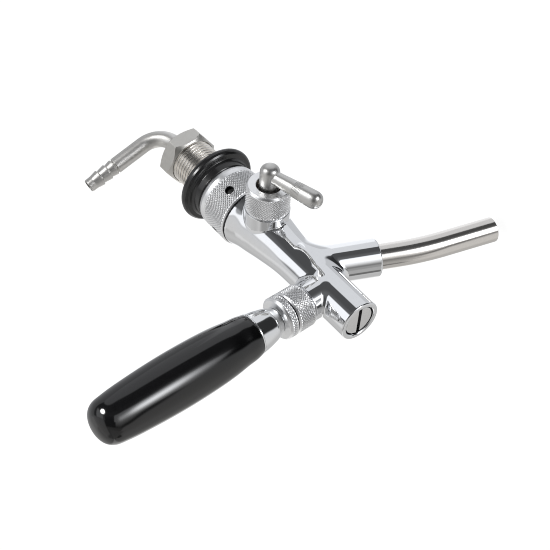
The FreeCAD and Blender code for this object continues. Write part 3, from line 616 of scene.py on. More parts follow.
# nuts of the flow control and the handle
turned("v_flow_gland_nut", FLOW, [(8.85, 15.7, 0.1), (9.9, 15.7, 0.2), (10.36, 16.1, 0.0, ("knurl", 0.34, 1.4)), (10.36, 27.75, 0.0), (9.8, 28.5, 0.25), (9.5, 28.75, 0.15),
                                  (6.15, 28.8, 0.12), (5.92, 28.6, 0.08), (5.92, 25, 0.1), (8.85, 25, 0.1)], 46 * 4, True, "tap", "chrome_knurled", "flow_gland_nut")
# the bonnet nut's top face, in the gap under the lock ring, gets painted shade
turned("v_bonnet_nut", LEV, [(8.65, 14.95, 0.1), (9.55, 14.95, 0.2), (10.05, 15.45, 0.0, ("knurl", 0.33, 1.38)), (10.08, 23.85, 0.0), (9.5, 24.5, 0.2),
                             (6.05, 24.5, 0.1), (5.1, 22, 0.1), (8.65, 22, 0.1)], 46 * 4, True, "tap", "chrome_knurled", "bonnet_nut", shade(lambda r, s: s > 24.42 and r < 9.45))
dome = [(6.925 + (9.75 - 6.925) * q / 6, 0) for q in range(7)]
dome = [(r, 18 + math.sqrt(144.2 - r * r), "s" if 0 < i < 6 else 0) for i, (r, _) in enumerate(dome)]
# the lock ring's underside and bore get painted shade
turned("v_handle_lock_ring", LEV, [(3.05, 27.85, 0.1)] + dome + [(10.1, 25.35, 0.0, ("knurl", 0.32, 1.38)), (10.1, 28.6, 0.0), (9.85, 29.0, 0.25), (9.2, 29.6, 0.6),
                                                                 (6.25, 30.0, 0.15), (3.05, 30.0, 0.1)], 46 * 4, True, "handle", "chrome_knurled", "handle_lock_ring",
       shade(lambda r, s: s < 26.6 and r < 9.9 or r < 6.0))

# handle
fer = spline([(6.35, 31.0), (6.7, 31.8), (7.25, 32.9), (7.85, 34.3), (8.42, 36.4), (8.95, 38.8), (9.38, 41.4), (9.68, 43.6)], 0.35)
turned("v_handle_ferrule", LEV, [(3.05, 30.15, 0.1), (6.05, 30.15, 0.12), (6.2, 30.4, 0.1), (6.35, 31.0, 0.1)] + [(r, s, "s") for r, s in fer[1:-1]]
       + [(9.68, 43.6, 0.05), (9.55, 43.72, 0.05), (9.75, 43.85, 0.08), (9.75, 44.2, 0.1), (9.65, 44.35, 0.05), (5.2, 44.35, 0.05), (5.2, 40, 0.1), (3.05, 38, 0.1)],
       192, True, "handle", "chrome_polished", "handle_ferrule")
gr = spline([(9.85, 44.9), (10.3, 47.0), (10.8, 52), (11.4, 57.0), (12, 64), (12.35, 73), (12.45, 81), (12.35, 89), (12.05, 97), (11.6, 105), (11.05, 112), (10.5, 116.5),
             (9.75, 120.0), (8.55, 122.0), (6.7, 123.5), (4.1, 124.5), (1.6, 124.85), (0, 124.9)], 0.8)
grip_prof = [(0, 66.1, 0), (5.05, 66.1, 0.2), (5.05, 44.45, 0.05), (9.55, 44.45, 0.15), (9.75, 44.6, 0.12)] + [(max(0.0, r), s, "s") for r, s in gr]
turned("v_handle_grip", LEV, grip_prof, 192, False, "handle", "black_gloss", "handle_grip")

# flow lever: spindle and arm
turned("v_flow_spindle", FLOW, [(0, 7.6, 0), (3.9, 7.6, 0.2), (3.9, 12.1, 0.1), (6.65, 12.1, 0.2), (6.65, 19.5, 0.2), (4.6, 19.6, 0.2), (4.6, 36.2, 0.05)]
       + [(r, s, "s") for r, s in spline([(4.56, 36.6), (4.42, 37.3), (4.05, 38.1), (3.4, 38.85), (2.5, 39.4), (1.3, 39.72), (0, 39.82)], 0.3)], 128, False, "flow_lever", "stainless_satin", "flow_spindle")
rings = []
for k in range(7):
    s = 14.3 + k * 0.62
    r = 3.7 + (s - 13) * 0.05
    rings += [(r, s, 0.05), (r - 0.07, s + 0.14, 0.05), (r + 0.01, s + 0.28, 0.05)]
turned("v_flow_lever_arm", ARM, [(0, 2.4, 0), (3.2, 2.4, 0.1), (3.25, 5.5, "s"), (3.42, 9, "s"), (3.62, 12.6, "s"), (3.7, 14.0, "s")] + rings
       + [(3.98, 19.2, "s"), (4.08, 21.5, "s"), (4.15, 23.8, "s")] + [(r, s, "s") for r, s in spline([(4.15, 24.3), (4.02, 25.5), (3.58, 26.7), (2.8, 27.62), (1.6, 28.28), (0.0, 28.5)], 0.3)[:]],
       96, False, "flow_lever", "stainless_satin", "flow_lever_arm")

# spout tube
d1 = np.array([0, -math.sin(sa), -math.cos(sa)])
p0 = np.array([0, -71.2, 0]) + d1 * 22
SPT = Path(p0, d1, (1, 0, 0), [(22.0,), (150.0, math.radians(9.1)), (27.0,)], 22.0)
la, lb = 44.0, 44.0 + 150 * math.radians(9.1)
lc = lb + 27
turned("v_spout_tube", SPT, [(5.0, 22, 0.1), (6.0, 22, 0.1)] + [(6.0, la + (lb - la) * q / 12, "s") for q in range(13)]
       + [(6.0, lc, 0.28), (5.0, lc, 0.2)] + [(5.0, lb + (la - lb) * q / 12, "s") for q in range(13)], 128, True, "tap", "stainless_satin", "spout_tube")


# ---------------------------------------------------------------- cast body
def smoothstep(x, a, b):
    t = np.clip((x - a) / (b - a), 0, 1)
    return t * t * (3 - 2 * t)


def union(a, b, R):
    u, v = np.maximum(R - a, 0), np.maximum(R - b, 0)
    return np.maximum(R, np.minimum(a, b)) - np.sqrt(u * u + v * v)


def capped(P, ax, r0, r1, s0, s1, rim):
    """Distance to a cylinder about an axis, its far rim rounded."""
    q = P - ax.o
    s = q @ ax.a
    rr = np.sqrt(np.maximum((q * q).sum(1) - s * s, 1e-12))
    r = r0 + (r1 - r0) * np.clip((s - s0) / (s1 - s0), 0, 1)
    dr, ds = rr - r + rim, np.maximum(s - s1, s0 - s) + rim
    return np.minimum(np.maximum(dr, ds), 0) + np.sqrt(np.maximum(dr, 0) ** 2 + np.maximum(ds, 0) ** 2) - rim


WAVE = spline([(-29.0, 15.62), (-31.0, 15.36), (-33.5, 14.72), (-36.4, 14.0), (-40.4, 13.38), (-46.0, 12.42), (-52.0, 11.48), (-57.5, 10.72), (-63.0, 10.24), (-69.0, 10.07),
               (-75.0, 10.07)][::-1], 0.06)
WY, WR = WAVE[:, 0], WAVE[:, 1]
WS = np.gradient(WR, WY)


def main_sd(r, y):
    """Distance to the turned outside of the body: stub, flared waist and straight front tube with a rounded rim."""
    f, sl = np.interp(y, WY, WR), np.interp(y, WY, WS)
    side = (r - f) / np.sqrt(1 + sl * sl)
    rim = 0.75
    dr, ds = side + rim, (-110.0 - y) + rim
    d = np.minimum(np.maximum(dr, ds), 0) + np.sqrt(np.maximum(dr, 0) ** 2 + np.maximum(ds, 0) ** 2) - rim
    d = np.maximum(d, y + 30.15)
    return np.minimum(d, np.maximum(r - 14.15, np.maximum(y + 19.1, -32.0 - y)))


def body_sd(P, exact):
    x, y, z = P[:, 0], P[:, 1], P[:, 2]
    r = np.sqrt(x * x + z * z + 1e-12)
    main = main_sd(r, y)
    lev = np.minimum(capped(P, LEV, 9.3, 9.3, 0, 14.3, 0.45), capped(P, LEV, 8.6, 8.6, 0, 21.8, 0.3))
    spo = capped(P, SPO, 9.0, 9.0, 0, 34.4, 1.0)
    flo = np.minimum(capped(P, FLOW, 10.6, 10.6, 0, 15.6, 0.4), capped(P, FLOW, 8.8, 8.8, 0, 23.5, 0.3))
    along = (P - SPO.o) @ np.array([0, math.cos(sa), -math.sin(sa)])
    Rs = 3.6 + 1.8 * smoothstep(along, -6.0, 7.0)
    d = union(main, spo, Rs)
    d = union(d, lev, 1.6)
    d = union(d, flo, 0.55)
    # ways and chambers
    bore = []
    rb = np.interp(y, [-63.2, -60, -50, -30, -19.1, -10], [4.2, 6.2, 6.4, 8.2, 8.6, 8.6])
    bore.append(np.maximum(r - rb, np.maximum(-62.5 - y, y + 0)))
    bore.append(np.maximum(r - 4.2, np.maximum(-64 - y, y + 60)))
    bore.append(np.maximum(r - 5.2, np.maximum(-100.5 - y, y + 63.2)))
    bore.append(np.maximum(r - 7.7 - np.clip(-109.6 - y, 0, 0.4), y + 100))

    def cyl(ax, rad, s0, s1):
        q = P - ax.o
        s = q @ ax.a
        rr = np.sqrt(np.maximum((q * q).sum(1) - s * s, 1e-12))
        return np.maximum(rr - rad, np.maximum(s - s1, s0 - s))

    bore.append(cyl(LEV, 6.7, 12.5, 30))
    bore.append(cyl(SPO, 6.08, 20, 40))
    bore.append(cyl(FLOW, 4.05, 4, 13))
    bore.append(cyl(FLOW, 6.7, 12, 30))
    q = P - LEV.o
    ly, lz = q[:, 1] * math.cos(lean) + q[:, 2] * math.sin(lean), -q[:, 1] * math.sin(lean) + q[:, 2] * math.cos(lean)
    slot = np.maximum(np.abs(x) - 2.8, np.maximum(np.maximum(-3.2 - ly, ly - 7.7), np.maximum(0.5 - lz, lz - 12.8)))
    bore.append(slot)
    e = unit(np.array([0, -71.2, 0]) + d1 * 20.6 - np.array([0, -66.6, 0]))
    w = P - np.array([0, -66.6, 0])
    s = w @ e
    bore.append(np.maximum(np.sqrt(np.maximum((w * w).sum(1) - s * s, 1e-12)) - 3.3, np.maximum(-s, s - 21)))
    for b in bore:
        d = np.maximum(d, -b)
    return d


def cast_body():
    h = 0.35
    lo, hi = np.array([-16.7, -111.0, -35.0]), np.array([24.4, -18.0, 22.9])
    n = np.ceil((hi - lo) / h).astype(int) + 1
    gx, gy, gz = [lo[i] + np.arange(n[i]) * h for i in range(3)]
    F = np.empty(n, np.float32)
    for i in range(n[0]):
        Y, Z = np.meshgrid(gy, gz, indexing="ij")
        P = np.stack([np.full(Y.size, gx[i]), Y.ravel(), Z.ravel()], 1)
        F[i] = body_sd(P, False).reshape(n[1], n[2])
    neg = F < 0
    idx = -np.ones(np.array(n) - 1, np.int64)
    cells = np.zeros(np.array(n) - 1, np.int8)
    for dx in (0, 1):
        for dy in (0, 1):
            for dz in (0, 1):
                cells += neg[dx:n[0] - 1 + dx, dy:n[1] - 1 + dy, dz:n[2] - 1 + dz]
    act = np.argwhere((cells > 0) & (cells < 8))
    idx[tuple(act.T)] = np.arange(len(act))
    acc, cnt = np.zeros((len(act), 3)), np.zeros(len(act))
    E = [((0, 0, 0), (1, 0, 0)), ((0, 1, 0), (1, 1, 0)), ((0, 0, 1), (1, 0, 1)), ((0, 1, 1), (1, 1, 1)),
         ((0, 0, 0), (0, 1, 0)), ((1, 0, 0), (1, 1, 0)), ((0, 0, 1), (0, 1, 1)), ((1, 0, 1), (1, 1, 1)),
         ((0, 0, 0), (0, 0, 1)), ((1, 0, 0), (1, 0, 1)), ((0, 1, 0), (0, 1, 1)), ((1, 1, 0), (1, 1, 1))]
    for a, b in E:
        a, b = np.array(a), np.array(b)
        fa, fb = F[tuple((act + a).T)].astype(float), F[tuple((act + b).T)].astype(float)
        m = (fa < 0) != (fb < 0)
        t = np.where(m, fa / np.where(m, fa - fb, 1), 0)[:, None]
        acc += np.where(m[:, None], a + (b - a) * t, 0)
        cnt += m
    V = lo + (act + acc / cnt[:, None]) * h
    quads = []
    for ax_ in range(3):
        o1, o2 = [(1, 2), (2, 0), (0, 1)][ax_]
        sl0, sl1 = [slice(None)] * 3, [slice(None)] * 3
        sl0[ax_], sl1[ax_] = slice(0, n[ax_] - 1), slice(1, n[ax_])
        A, B = neg[tuple(sl0)], neg[tuple(sl1)]
        for flip in (False, True):
            m = (A & ~B) if not flip else (~A & B)
            e = np.argwhere(m)
            e = e[(e[:, o1] > 0) & (e[:, o2] > 0) & (e[:, o1] < n[o1] - 1) & (e[:, o2] < n[o2] - 1)]
            u, v = np.zeros(3, int), np.zeros(3, int)
            u[o1], v[o2] = 1, 1
            q = np.stack([idx[tuple((e - u - v).T)], idx[tuple((e - v).T)], idx[tuple(e.T)], idx[tuple((e - u).T)]], 1)
            quads.append(q if not flip else q[:, ::-1])
    Q = np.concatenate(quads)
    assert Q.min() >= 0

    def grad(X, e=0.012):
        g = np.zeros_like(X)
        for k in range(3):
            d = np.zeros(3)
            d[k] = e
            g[:, k] = (body_sd(X + d, True) - body_sd(X - d, True)) / (2 * e)
        return g

    for it in range(2):
        g = grad(V)
        f = body_sd(V, True)
        step = g * (f / np.maximum((g * g).sum(1), 0.25))[:, None]
        l = np.linalg.norm(step, axis=1)
        step *= np.minimum(1, 0.3 / np.maximum(l, 1e-9))[:, None]
        V = V - step
    N = grad(V, 0.07)
    N /= np.maximum(np.linalg.norm(N, axis=1), 1e-9)[:, None]
    # where the surface has a sharp inner edge the face's own direction is safer
    fn = np.cross(V[Q[:, 2]] - V[Q[:, 0]], V[Q[:, 3]] - V[Q[:, 1]])
    fn /= np.maximum(np.linalg.norm(fn, axis=1), 1e-12)[:, None]
    ln = N[Q]
    bad = (ln * fn[:, None, :]).sum(2) < 0.55
    ln = np.where(bad[:, :, None], np.repeat(fn[:, None, :], 4, 1), ln)
    return make("v_tap_body", V, [Q], [ln], [], [], V - np.array([0, -70.0, 0]), "tap", "chrome_polished", "tap_body")


cast_body()


# ---------------------------------------------------------------- materials
class NT:
    """Short helper for node trees."""
    def __init__(self, tree):
        self.t = tree
        tree.nodes.clear()

    def n(self, kind, **kw):
        nd = self.t.nodes.new(kind)
        for k, v in kw.items():
            if k.startswith("i_"):
                nd.inputs[k[2:].replace("_", " ")].default_value = v
            elif k.startswith("x") and k[1:].isdigit():
                nd.inputs[int(k[1:])].default_value = v
            else:
                setattr(nd, k, v)
        return nd

    def l(self, a, b):
        self.t.links.new(a, b)
        return b

    def math(self, op, a, b=None, c=None, clamp=False):
        nd = self.t.nodes.new("ShaderNodeMath")
        nd.operation, nd.use_clamp = op, clamp
        for i, v in enumerate((a, b, c)):
            if v is None:
                continue
            if isinstance(v, (int, float)):
                nd.inputs[i].default_value = v
            else:
                self.t.links.new(v, nd.inputs[i])
        return nd.outputs[0]


def loc_coord(nt, scale):
    a = nt.n("ShaderNodeAttribute", attribute_name="loc")
    m = nt.n("ShaderNodeMapping")
    m.inputs["Scale"].default_value = scale
    nt.l(a.outputs["Vector"], m.inputs["Vector"])
    return m.outputs["Vector"]


def noise(nt, vec, scale, detail=2.0, rough=0.5):
    n = nt.n("ShaderNodeTexNoise")
    n.inputs["Scale"].default_value = scale
    n.inputs["Detail"].default_value = detail
    n.inputs["Roughness"].default_value = rough
    nt.l(vec, n.inputs["Vector"])
    return n.outputs["Fac"]


def ramp(nt, fac, lo, hi, a=0.0, b=1.0):
    m = nt.n("ShaderNodeMapRange", clamp=True)
    for k, v in enumerate((lo, hi, a, b)):
        m.inputs[k + 1].default_value = v
    nt.l(fac, m.inputs[0])
    return m.outputs[0]


def metal(name, col, rough, grain=None, grain_bump=0.0, grain_rough=0.0, smudge=0.03, mott=0.0, fine=0.0, tint=0.0, groove=None):
    """Metal with turned or drawn grain (scale of the loc coordinate), smudges in roughness and small colour variation;
    an optional groove colour paints shade into knurl grooves, and near-black painted shade into holes and gaps.
    """
    m = bpy.data.materials.new(name)
    m.use_nodes = True
    nt = NT(m.node_tree)
    out = nt.n("ShaderNodeOutputMaterial")
    p = nt.n("ShaderNodeBsdfPrincipled")
    nt.l(p.outputs[0], out.inputs[0])
    p.inputs["Metallic"].default_value = 1.0
    base = loc_coord(nt, (1, 1, 1))
    big = noise(nt, base, 70, 3, 0.6)
    small = noise(nt, base, 520, 3, 0.6)
    r = nt.math("MULTIPLY_ADD", ramp(nt, big, 0.3, 0.7), smudge, rough)
    mixc = nt.n("ShaderNodeMix", data_type="RGBA")
    mixc.inputs["A"].default_value = (*[c * (1 - 0.5 * mott - tint) for c in col], 1)
    mixc.inputs["B"].default_value = (*[min(1, c * (1 + 0.5 * mott)) for c in col], 1)
    fac = small
    height = None
    if grain:
        g1 = noise(nt, loc_coord(nt, grain), 1.0, 4, 0.75)
        g2 = noise(nt, loc_coord(nt, tuple(3.3 * v for v in grain)), 1.0, 3, 0.7)
        g = nt.math("ADD", nt.math("MULTIPLY", g1, 0.6), nt.math("MULTIPLY", g2, 0.4))
        r = nt.math("MULTIPLY_ADD", ramp(nt, g, 0.35, 0.65), grain_rough, r)
        fac = nt.math("ADD", nt.math("MULTIPLY", g, 0.75), nt.math("MULTIPLY", small, 0.25))
        height = g
    fac = ramp(nt, fac, 0.36, 0.64)
    nt.l(fac, mixc.inputs["Factor"])
    colour = mixc.outputs["Result"]
    # painted shade: knurl grooves get a darker colour, and negative values (spanner holes, hidden gaps) go near-black
    if groove:
        ga = nt.n("ShaderNodeAttribute", attribute_name="groove")
        groove_shade_mix = nt.n("ShaderNodeMix", data_type="RGBA")
        groove_shade_mix.inputs["A"].default_value = (*groove, 1)
        nt.l(ramp(nt, ga.outputs["Fac"], 0.05, 0.42), groove_shade_mix.inputs["Factor"])
        nt.l(colour, groove_shade_mix.inputs["B"])
        recess_shade_mix = nt.n("ShaderNodeMix", data_type="RGBA")
        recess_shade_mix.inputs["A"].default_value = (0.055, 0.055, 0.055, 1)
        nt.l(ramp(nt, ga.outputs["Fac"], -0.6, 0.0), recess_shade_mix.inputs["Factor"])
        nt.l(groove_shade_mix.outputs["Result"], recess_shade_mix.inputs["B"])
        colour = recess_shade_mix.outputs["Result"]
    nt.l(colour, p.inputs["Base Color"])
    nt.l(nt.math("MAXIMUM", r, 0.012), p.inputs["Roughness"])
    if height is not None and grain_bump:
        b = nt.n("ShaderNodeBump")
        b.inputs["Strength"].default_value = grain_bump
        b.inputs["Distance"].default_value = 0.00005
        nt.l(height, b.inputs["Height"])
        nt.l(b.outputs[0], p.inputs["Normal"])
    elif fine:
        b = nt.n("ShaderNodeBump")
        b.inputs["Strength"].default_value = fine
        b.inputs["Distance"].default_value = 0.00005
        nt.l(big, b.inputs["Height"])
        nt.l(b.outputs[0], p.inputs["Normal"])
    return m


def plastic(name, col, rough, coat=0.0, spec=0.5, bump=0.0, bump_scale=900, var=0.02):
    m = bpy.data.materials.new(name)
    m.use_nodes = True
    nt = NT(m.node_tree)
    out = nt.n("ShaderNodeOutputMaterial")
    p = nt.n("ShaderNodeBsdfPrincipled")
    nt.l(p.outputs[0], out.inputs[0])
    base = loc_coord(nt, (1, 1, 1))
    big, small = noise(nt, base, 60, 3, 0.6), noise(nt, base, bump_scale, 3, 0.6)
    p.inputs["Specular IOR Level"].default_value = spec
    p.inputs["Coat Weight"].default_value = coat
    p.inputs["Coat Roughness"].default_value = 0.09
    nt.l(nt.math("MULTIPLY_ADD", ramp(nt, big, 0.3, 0.7), var, rough), p.inputs["Roughness"])
    mixc = nt.n("ShaderNodeMix", data_type="RGBA")
    mixc.inputs["A"].default_value = (*col, 1)
    mixc.inputs["B"].default_value = (*[c * 1.25 + 0.001 for c in col], 1)
    nt.l(ramp(nt, small, 0.35, 0.65), mixc.inputs["Factor"])
    nt.l(mixc.outputs["Result"], p.inputs["Base Color"])
    if bump:
        b = nt.n("ShaderNodeBump")
        b.inputs["Strength"].default_value = bump
        b.inputs["Distance"].default_value = 0.00005
        nt.l(small, b.inputs["Height"])
        nt.l(b.outputs[0], p.inputs["Normal"])
    return m


ALONG, RINGS = (700, 700, 6), (5, 5, 2600)
MATS = {
    "chrome_polished": metal("chrome_polished", (0.86, 0.87, 0.885), 0.035, smudge=0.03, mott=0.02, fine=0.01),
    # the knurled chrome has a darker colour painted into its grooves as painted shade
    "chrome_knurled": metal("chrome_knurled", (0.97, 0.975, 0.985), 0.32, smudge=0.05, mott=0.03, fine=0.02, groove=(0.70, 0.70, 0.705)),
    "stainless_satin": metal("stainless_satin", (0.80, 0.79, 0.77), 0.14, ALONG, 0.10, 0.10, 0.04, 0.08),
    "stainless_turned": metal("stainless_turned", (0.90, 0.87, 0.825), 0.15, RINGS, 0.25, 0.08, 0.06, 0.12),
    "black_gloss": plastic("black_gloss", (0.0035, 0.0035, 0.004), 0.10, 0.35, 0.5, 0.015, 700, 0.03),
    "washer_black": plastic("washer_black", (0.011, 0.011, 0.0115), 0.17, 0.1, 0.5, 0.05, 1600, 0.08),
    "seal_rubber": plastic("seal_rubber", (0.012, 0.012, 0.012), 0.55, 0, 0.4, 0.2, 2500, 0.1),
    "white_acetal": plastic("white_acetal", (0.80, 0.79, 0.76), 0.38, 0, 0.5, 0.1, 1800, 0.06),
    "brass": metal("brass", (0.80, 0.58, 0.26), 0.2, RINGS, 0.15, 0.1, 0.05, 0.1),
}
MATS["plug_face"] = metal("plug_face", (0.80, 0.80, 0.80), 0.16, (900, 40, 25), 0.08, 0.06, 0.05, 0.06)
nt = NT.__new__(NT)                                              # the slot and the gap round the plug are painted dark: painted shade in the recesses behind the front face
nt.t = MATS["plug_face"].node_tree
sep = nt.n("ShaderNodeSeparateXYZ")
nt.l(nt.n("ShaderNodeTexCoord").outputs["Object"], sep.inputs[0])
bsdf = next(n for n in nt.t.nodes if n.type == "BSDF_PRINCIPLED")
old = bsdf.inputs["Base Color"].links[0].from_socket
slot_shade_mix = nt.n("ShaderNodeMix", data_type="RGBA")
slot_shade_mix.inputs["B"].default_value = (0.17, 0.17, 0.175, 1)
nt.l(old, slot_shade_mix.inputs["A"])
# painted shade: everything more than half a millimetre behind the plug's front face is darkened
nt.l(ramp(nt, sep.outputs["Y"], -0.10915, -0.1085), slot_shade_mix.inputs["Factor"])
nt.l(slot_shade_mix.outputs["Result"], bsdf.inputs["Base Color"])
MATS["drawn_tube"] = metal("drawn_tube", (0.71, 0.70, 0.68), 0.32, (420, 420, 9), 0.22, 0.1, 0.06, 0.14)
MATS["lever_satin"] = metal("lever_satin", (0.64, 0.635, 0.62), 0.33, RINGS, 0.06, 0.05, 0.03, 0.06)
MATS["ferrule"] = metal("ferrule", (0.86, 0.87, 0.88), 0.05, (6, 6, 3000), 0.02, 0.03, 0.02, 0.02)
MATS["hex_face"] = metal("hex_face", (0.71, 0.695, 0.66), 0.33, (30, 900, 900), 0.12, 0.08, 0.07, 0.10)
# the gland bush's material is nearly black: painted shade for the dark gap round the spindle
MATS["old_bronze"] = metal("old_bronze", (0.075, 0.06, 0.045), 0.45, RINGS, 0.15, 0.1, 0.05, 0.1)
MATS["spout_steel"] = metal("spout_steel", (0.77, 0.745, 0.715), 0.10, ALONG, 0.08, 0.08, 0.03, 0.07)
own = {"v_front_plug": "plug_face", "v_spout_tube": "spout_steel", "v_elbow_tail": "drawn_tube", "v_flow_lever_arm": "lever_satin", "v_flow_spindle": "lever_satin",
       "v_handle_ferrule": "ferrule", "v_tail_nut": "hex_face"}
for ob in MADE:
    ob.data.materials.clear()
    ob.data.materials.append(MATS[own.get(ob.name, ob["slot"])])
slots = {p["node"]: p["material_slot"] for p in frame["record"]["subparts"]}
for nm, ob in frame["nodes"].items():
    ob.data.materials.clear()
    # painted shade: the gland bush gets the nearly black material that stands for the gap's shadow
    ob.data.materials.append(MATS["old_bronze" if nm == "flow_gland_bush" else slots[nm]])
    if "loc" not in ob.data.attributes:
        at = ob.data.attributes.new("loc", "FLOAT_VECTOR", "POINT")
        co = np.zeros(len(ob.data.vertices) * 3, np.float32)
        ob.data.vertices.foreach_get("co", co)
        at.data.foreach_set("vector", co)

# ---------------------------------------------------------------- camera
cam = bpy.data.cameras.new("cam")
co = bpy.data.objects.new("cam", cam)
bpy.context.scene.collection.objects.link(co)
RIGHT, UP, BACK = (0.0610355, -0.60589527, -0.79319959), (0.69567403, 0.59568644, -0.40149136), (0.71575995, -0.52730314, 0.45786362)
from mathutils import Matrix
mw = Matrix((RIGHT, UP, BACK)).transposed().to_4x4()
mw.translation = Vector((0.38503, -0.35039, 0.25993))
co.matrix_world = mw
cam.sensor_width, cam.lens = 36.0, 78.48
cam.clip_start, cam.clip_end = 0.01, 200
bpy.context.scene.camera = co
bpy.context.scene.view_settings.view_transform = "Standard"
bpy.context.scene.cycles.filter_width = 1.0

# ---------------------------------------------------------------- light tent, described in the camera's own directions
world = bpy.data.worlds.new("tent")
bpy.context.scene.world = world
world.use_nodes = True
nt = NT(world.node_tree)
geo = nt.n("ShaderNodeTexCoord")
comp = []
for ax_ in (RIGHT, UP, BACK):
    d = nt.n("ShaderNodeVectorMath", operation="DOT_PRODUCT")
    d.inputs[1].default_value = ax_
    nt.l(geo.outputs["Generated"], d.inputs[0])
    comp.append(d.outputs["Value"])
DEG = 180 / math.pi
az = nt.math("MULTIPLY", nt.math("ARCTAN2", comp[0], comp[2]), DEG)
el = nt.math("MULTIPLY", nt.math("ARCSINE", nt.math("MAXIMUM", nt.math("MINIMUM", comp[1], 1.0), -1.0)), DEG)


def step(x, a, b):
    """0 below a, 1 above b, smooth between."""
    m = nt.n("ShaderNodeMapRange", interpolation_type="SMOOTHSTEP", clamp=True)
    lo, hi = (a, b) if a < b else (b, a)
    m.inputs[1].default_value, m.inputs[2].default_value = lo, hi
    m.inputs[3].default_value, m.inputs[4].default_value = (0, 1) if a < b else (1, 0)
    nt.l(x, m.inputs[0])
    return m.outputs[0]


def card(a0, a1, e0, e1, sa=2.0, se=2.0, x=None, y=None):
    """Mask of a panel of the tent: an azimuth range and an elevation range with soft edges."""
    x, y = x or az, y or el
    m = None
    for v, lo, hi, s in ((x, a0, a1, sa), (y, e0, e1, se)):
        if lo is not None:
            t = step(v, lo - s, lo + s)
            m = t if m is None else nt.math("MULTIPLY", m, t)
        if hi is not None:
            t = step(v, hi + s, hi - s)
            m = t if m is None else nt.math("MULTIPLY", m, t)
    return m


def lay(val, mask, v):
    """val where mask is 0, v where it is 1."""
    d = nt.math("SUBTRACT", v, val)
    return nt.math("MULTIPLY_ADD", d, mask, val)


def blob(a, e, ra, re):
    x = nt.math("MULTIPLY", nt.math("SUBTRACT", az, a), 1 / ra)
    y = nt.math("MULTIPLY", nt.math("SUBTRACT", el, e), 1 / re)
    q = nt.math("ADD", nt.math("MULTIPLY", x, x), nt.math("MULTIPLY", y, y))
    return nt.math("EXPONENT", nt.math("MULTIPLY", q, -1.0))


aaz = nt.math("ABSOLUTE", az)
v = nt.n("ShaderNodeValue").outputs[0]
v.node.outputs[0].default_value = 0.078
v = lay(v, step(el, 44, 27), 0.125)                              # dark front screen, a little lighter low down
v = lay(v, card(-40, 40, None, 12, 6, 8), 0.07)
v = lay(v, card(62, 100, 6, 56, 5, 5), 0.03)                     # darkest part beside the camera
v = lay(v, step(el, -28, -38), 0.33)                             # table in front
v = lay(v, card(None, -94, -80, None, 4, 2), 0.50)               # left wall
v = lay(v, card(-118, -89, -30, -9, 3, 2), 0.80)
v = lay(v, card(-145, -112, None, 20, 14, 5), 0.58)
v = lay(v, card(97, None, -80, None, 5, 2), 0.60)                # right wall
v = lay(v, card(60, None, -58, 4, 3, 4), 0.70)
v = lay(v, card(118, None, -80, 8, 16, 5), 0.54)
v = lay(v, card(72, 108, -75, -60.5, 6, 1.5), 0.16)
tilt = nt.math("ADD", el, nt.math("MULTIPLY", step(az, 52, 80), 6.0))
v = lay(v, step(tilt, 63.2, 66.8), 0.755)                        # roof of the tent
v = lay(v, card(-100, -40, -64, -4, 7, 5), 0.66)                 # low left wall, in front of the long one
v = lay(v, nt.math("MULTIPLY", card(-80, -41, -4, None, 4, 4),
                   step(nt.math("MULTIPLY_ADD", az, 0.4, el), 6.0, 0.0)), 1.08)   # white panels left and right
v = lay(v, card(-42, -32, -6, 16, 4, 5), 0.38)
v = lay(v, nt.math("MULTIPLY", card(25, 52, None, None, 4, 2), nt.math("MULTIPLY", step(el, -37, -3), step(el, 22, 17))), 1.05)
v = lay(v, card(19, 62, -7, 21, 2, 3), 1.08)
v = lay(v, card(-20, 75, None, -46, 8, 3), 0.43)
v = lay(v, step(aaz, 160, 172), 1.05)                            # open back
v = nt.math("ADD", v, nt.math("MULTIPLY", blob(46, 9, 8, 10), 13.0))
cool = nt.n("ShaderNodeMix", data_type="RGBA")
cool.inputs["A"].default_value = (0.985, 1.0, 1.03, 1)
cool.inputs["B"].default_value = (1.01, 1.0, 0.985, 1)
nt.l(step(el, 20, -40), cool.inputs["Factor"])
bg = nt.n("ShaderNodeBackground")
nt.l(cool.outputs["Result"], bg.inputs["Color"])
nt.l(v, bg.inputs["Strength"])
white = nt.n("ShaderNodeBackground")
white.inputs["Color"].default_value = (1, 1, 1, 1)
white.inputs["Strength"].default_value = 1.0
lp = nt.n("ShaderNodeLightPath")
mx = nt.n("ShaderNodeMixShader")
nt.l(lp.outputs["Is Camera Ray"], mx.inputs[0])
nt.l(bg.outputs[0], mx.inputs[1])
nt.l(white.outputs[0], mx.inputs[2])
wo = nt.n("ShaderNodeOutputWorld")
nt.l(mx.outputs[0], wo.inputs[0])
world.cycles.sampling_method = "MANUAL"
world.cycles.sample_map_resolution = 1024

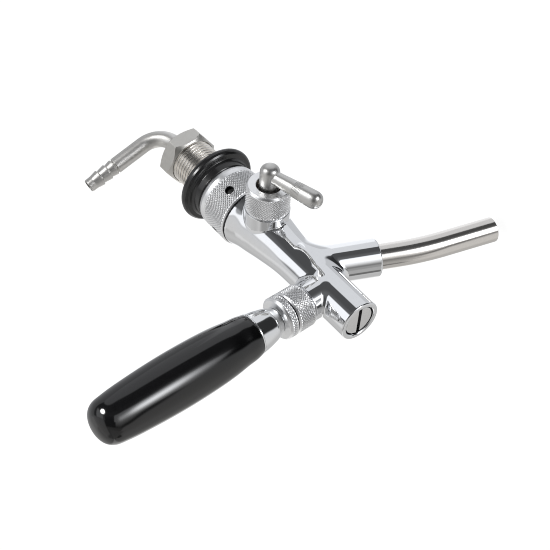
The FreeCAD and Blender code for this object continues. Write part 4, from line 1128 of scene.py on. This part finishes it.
# ---------------------------------------------------------------- floor
bpy.ops.mesh.primitive_plane_add(size=60, location=(0, -0.06, -0.0955))
floor = bpy.context.object
floor.name = "floor"
fm = bpy.data.materials.new("floor")
fm.use_nodes = True
ft = NT(fm.node_tree)
fo = ft.n("ShaderNodeOutputMaterial")
df = ft.n("ShaderNodeBsdfDiffuse")
df.inputs["Color"].default_value = (0.32, 0.32, 0.32, 1)
em = ft.n("ShaderNodeEmission")
em.inputs["Strength"].default_value = 0.91
ad = ft.n("ShaderNodeAddShader")
ft.l(df.outputs[0], ad.inputs[0])
ft.l(em.outputs[0], ad.inputs[1])
ft.l(ad.outputs[0], fo.inputs[0])
floor.data.materials.append(fm)
floor.visible_glossy = False
floor.visible_diffuse = False

# small soft box for the black parts only: the spot near the end of the grip
al = bpy.data.lights.new("spot_box", "AREA")
al.shape, al.size, al.energy = "DISK", 0.20, 2.2
alo = bpy.data.objects.new("spot_box", al)
bpy.context.scene.collection.objects.link(alo)
R_, U_, B_ = Vector(RIGHT), Vector(UP), Vector(BACK)
ga_, ge_ = math.radians(-44), math.radians(31)
dirn = R_ * (math.cos(ge_) * math.sin(ga_)) + U_ * math.sin(ge_) + B_ * (math.cos(ge_) * math.cos(ga_))
tip = Vector((0, -0.094, 0.118))
alo.location = tip + dirn * 0.45
alo.rotation_euler = dirn.to_track_quat("Z", "Y").to_euler()
lit = bpy.data.collections.new("black_parts")
for ob in MADE:
    if ob["slot"] in ("black_gloss", "washer_black"):
        lit.objects.link(ob)
alo.light_linking.receiver_collection = lit

al2 = bpy.data.lights.new("satin_box", "AREA")
al2.shape, al2.size, al2.energy = "DISK", 0.30, 1.05
alo2 = bpy.data.objects.new("satin_box", al2)
bpy.context.scene.collection.objects.link(alo2)
alo2.location = Vector((0, -0.03, 0.02)) + dirn * 0.6
alo2.rotation_euler = dirn.to_track_quat("Z", "Y").to_euler()
sat = bpy.data.collections.new("satin_parts")
for ob in MADE:
    if ob["slot"] == "chrome_knurled" or ob.name in ("v_elbow_tail", "v_tail_nut", "v_flow_spindle", "v_flow_lever_arm"):
        sat.objects.link(ob)
alo2.light_linking.receiver_collection = sat
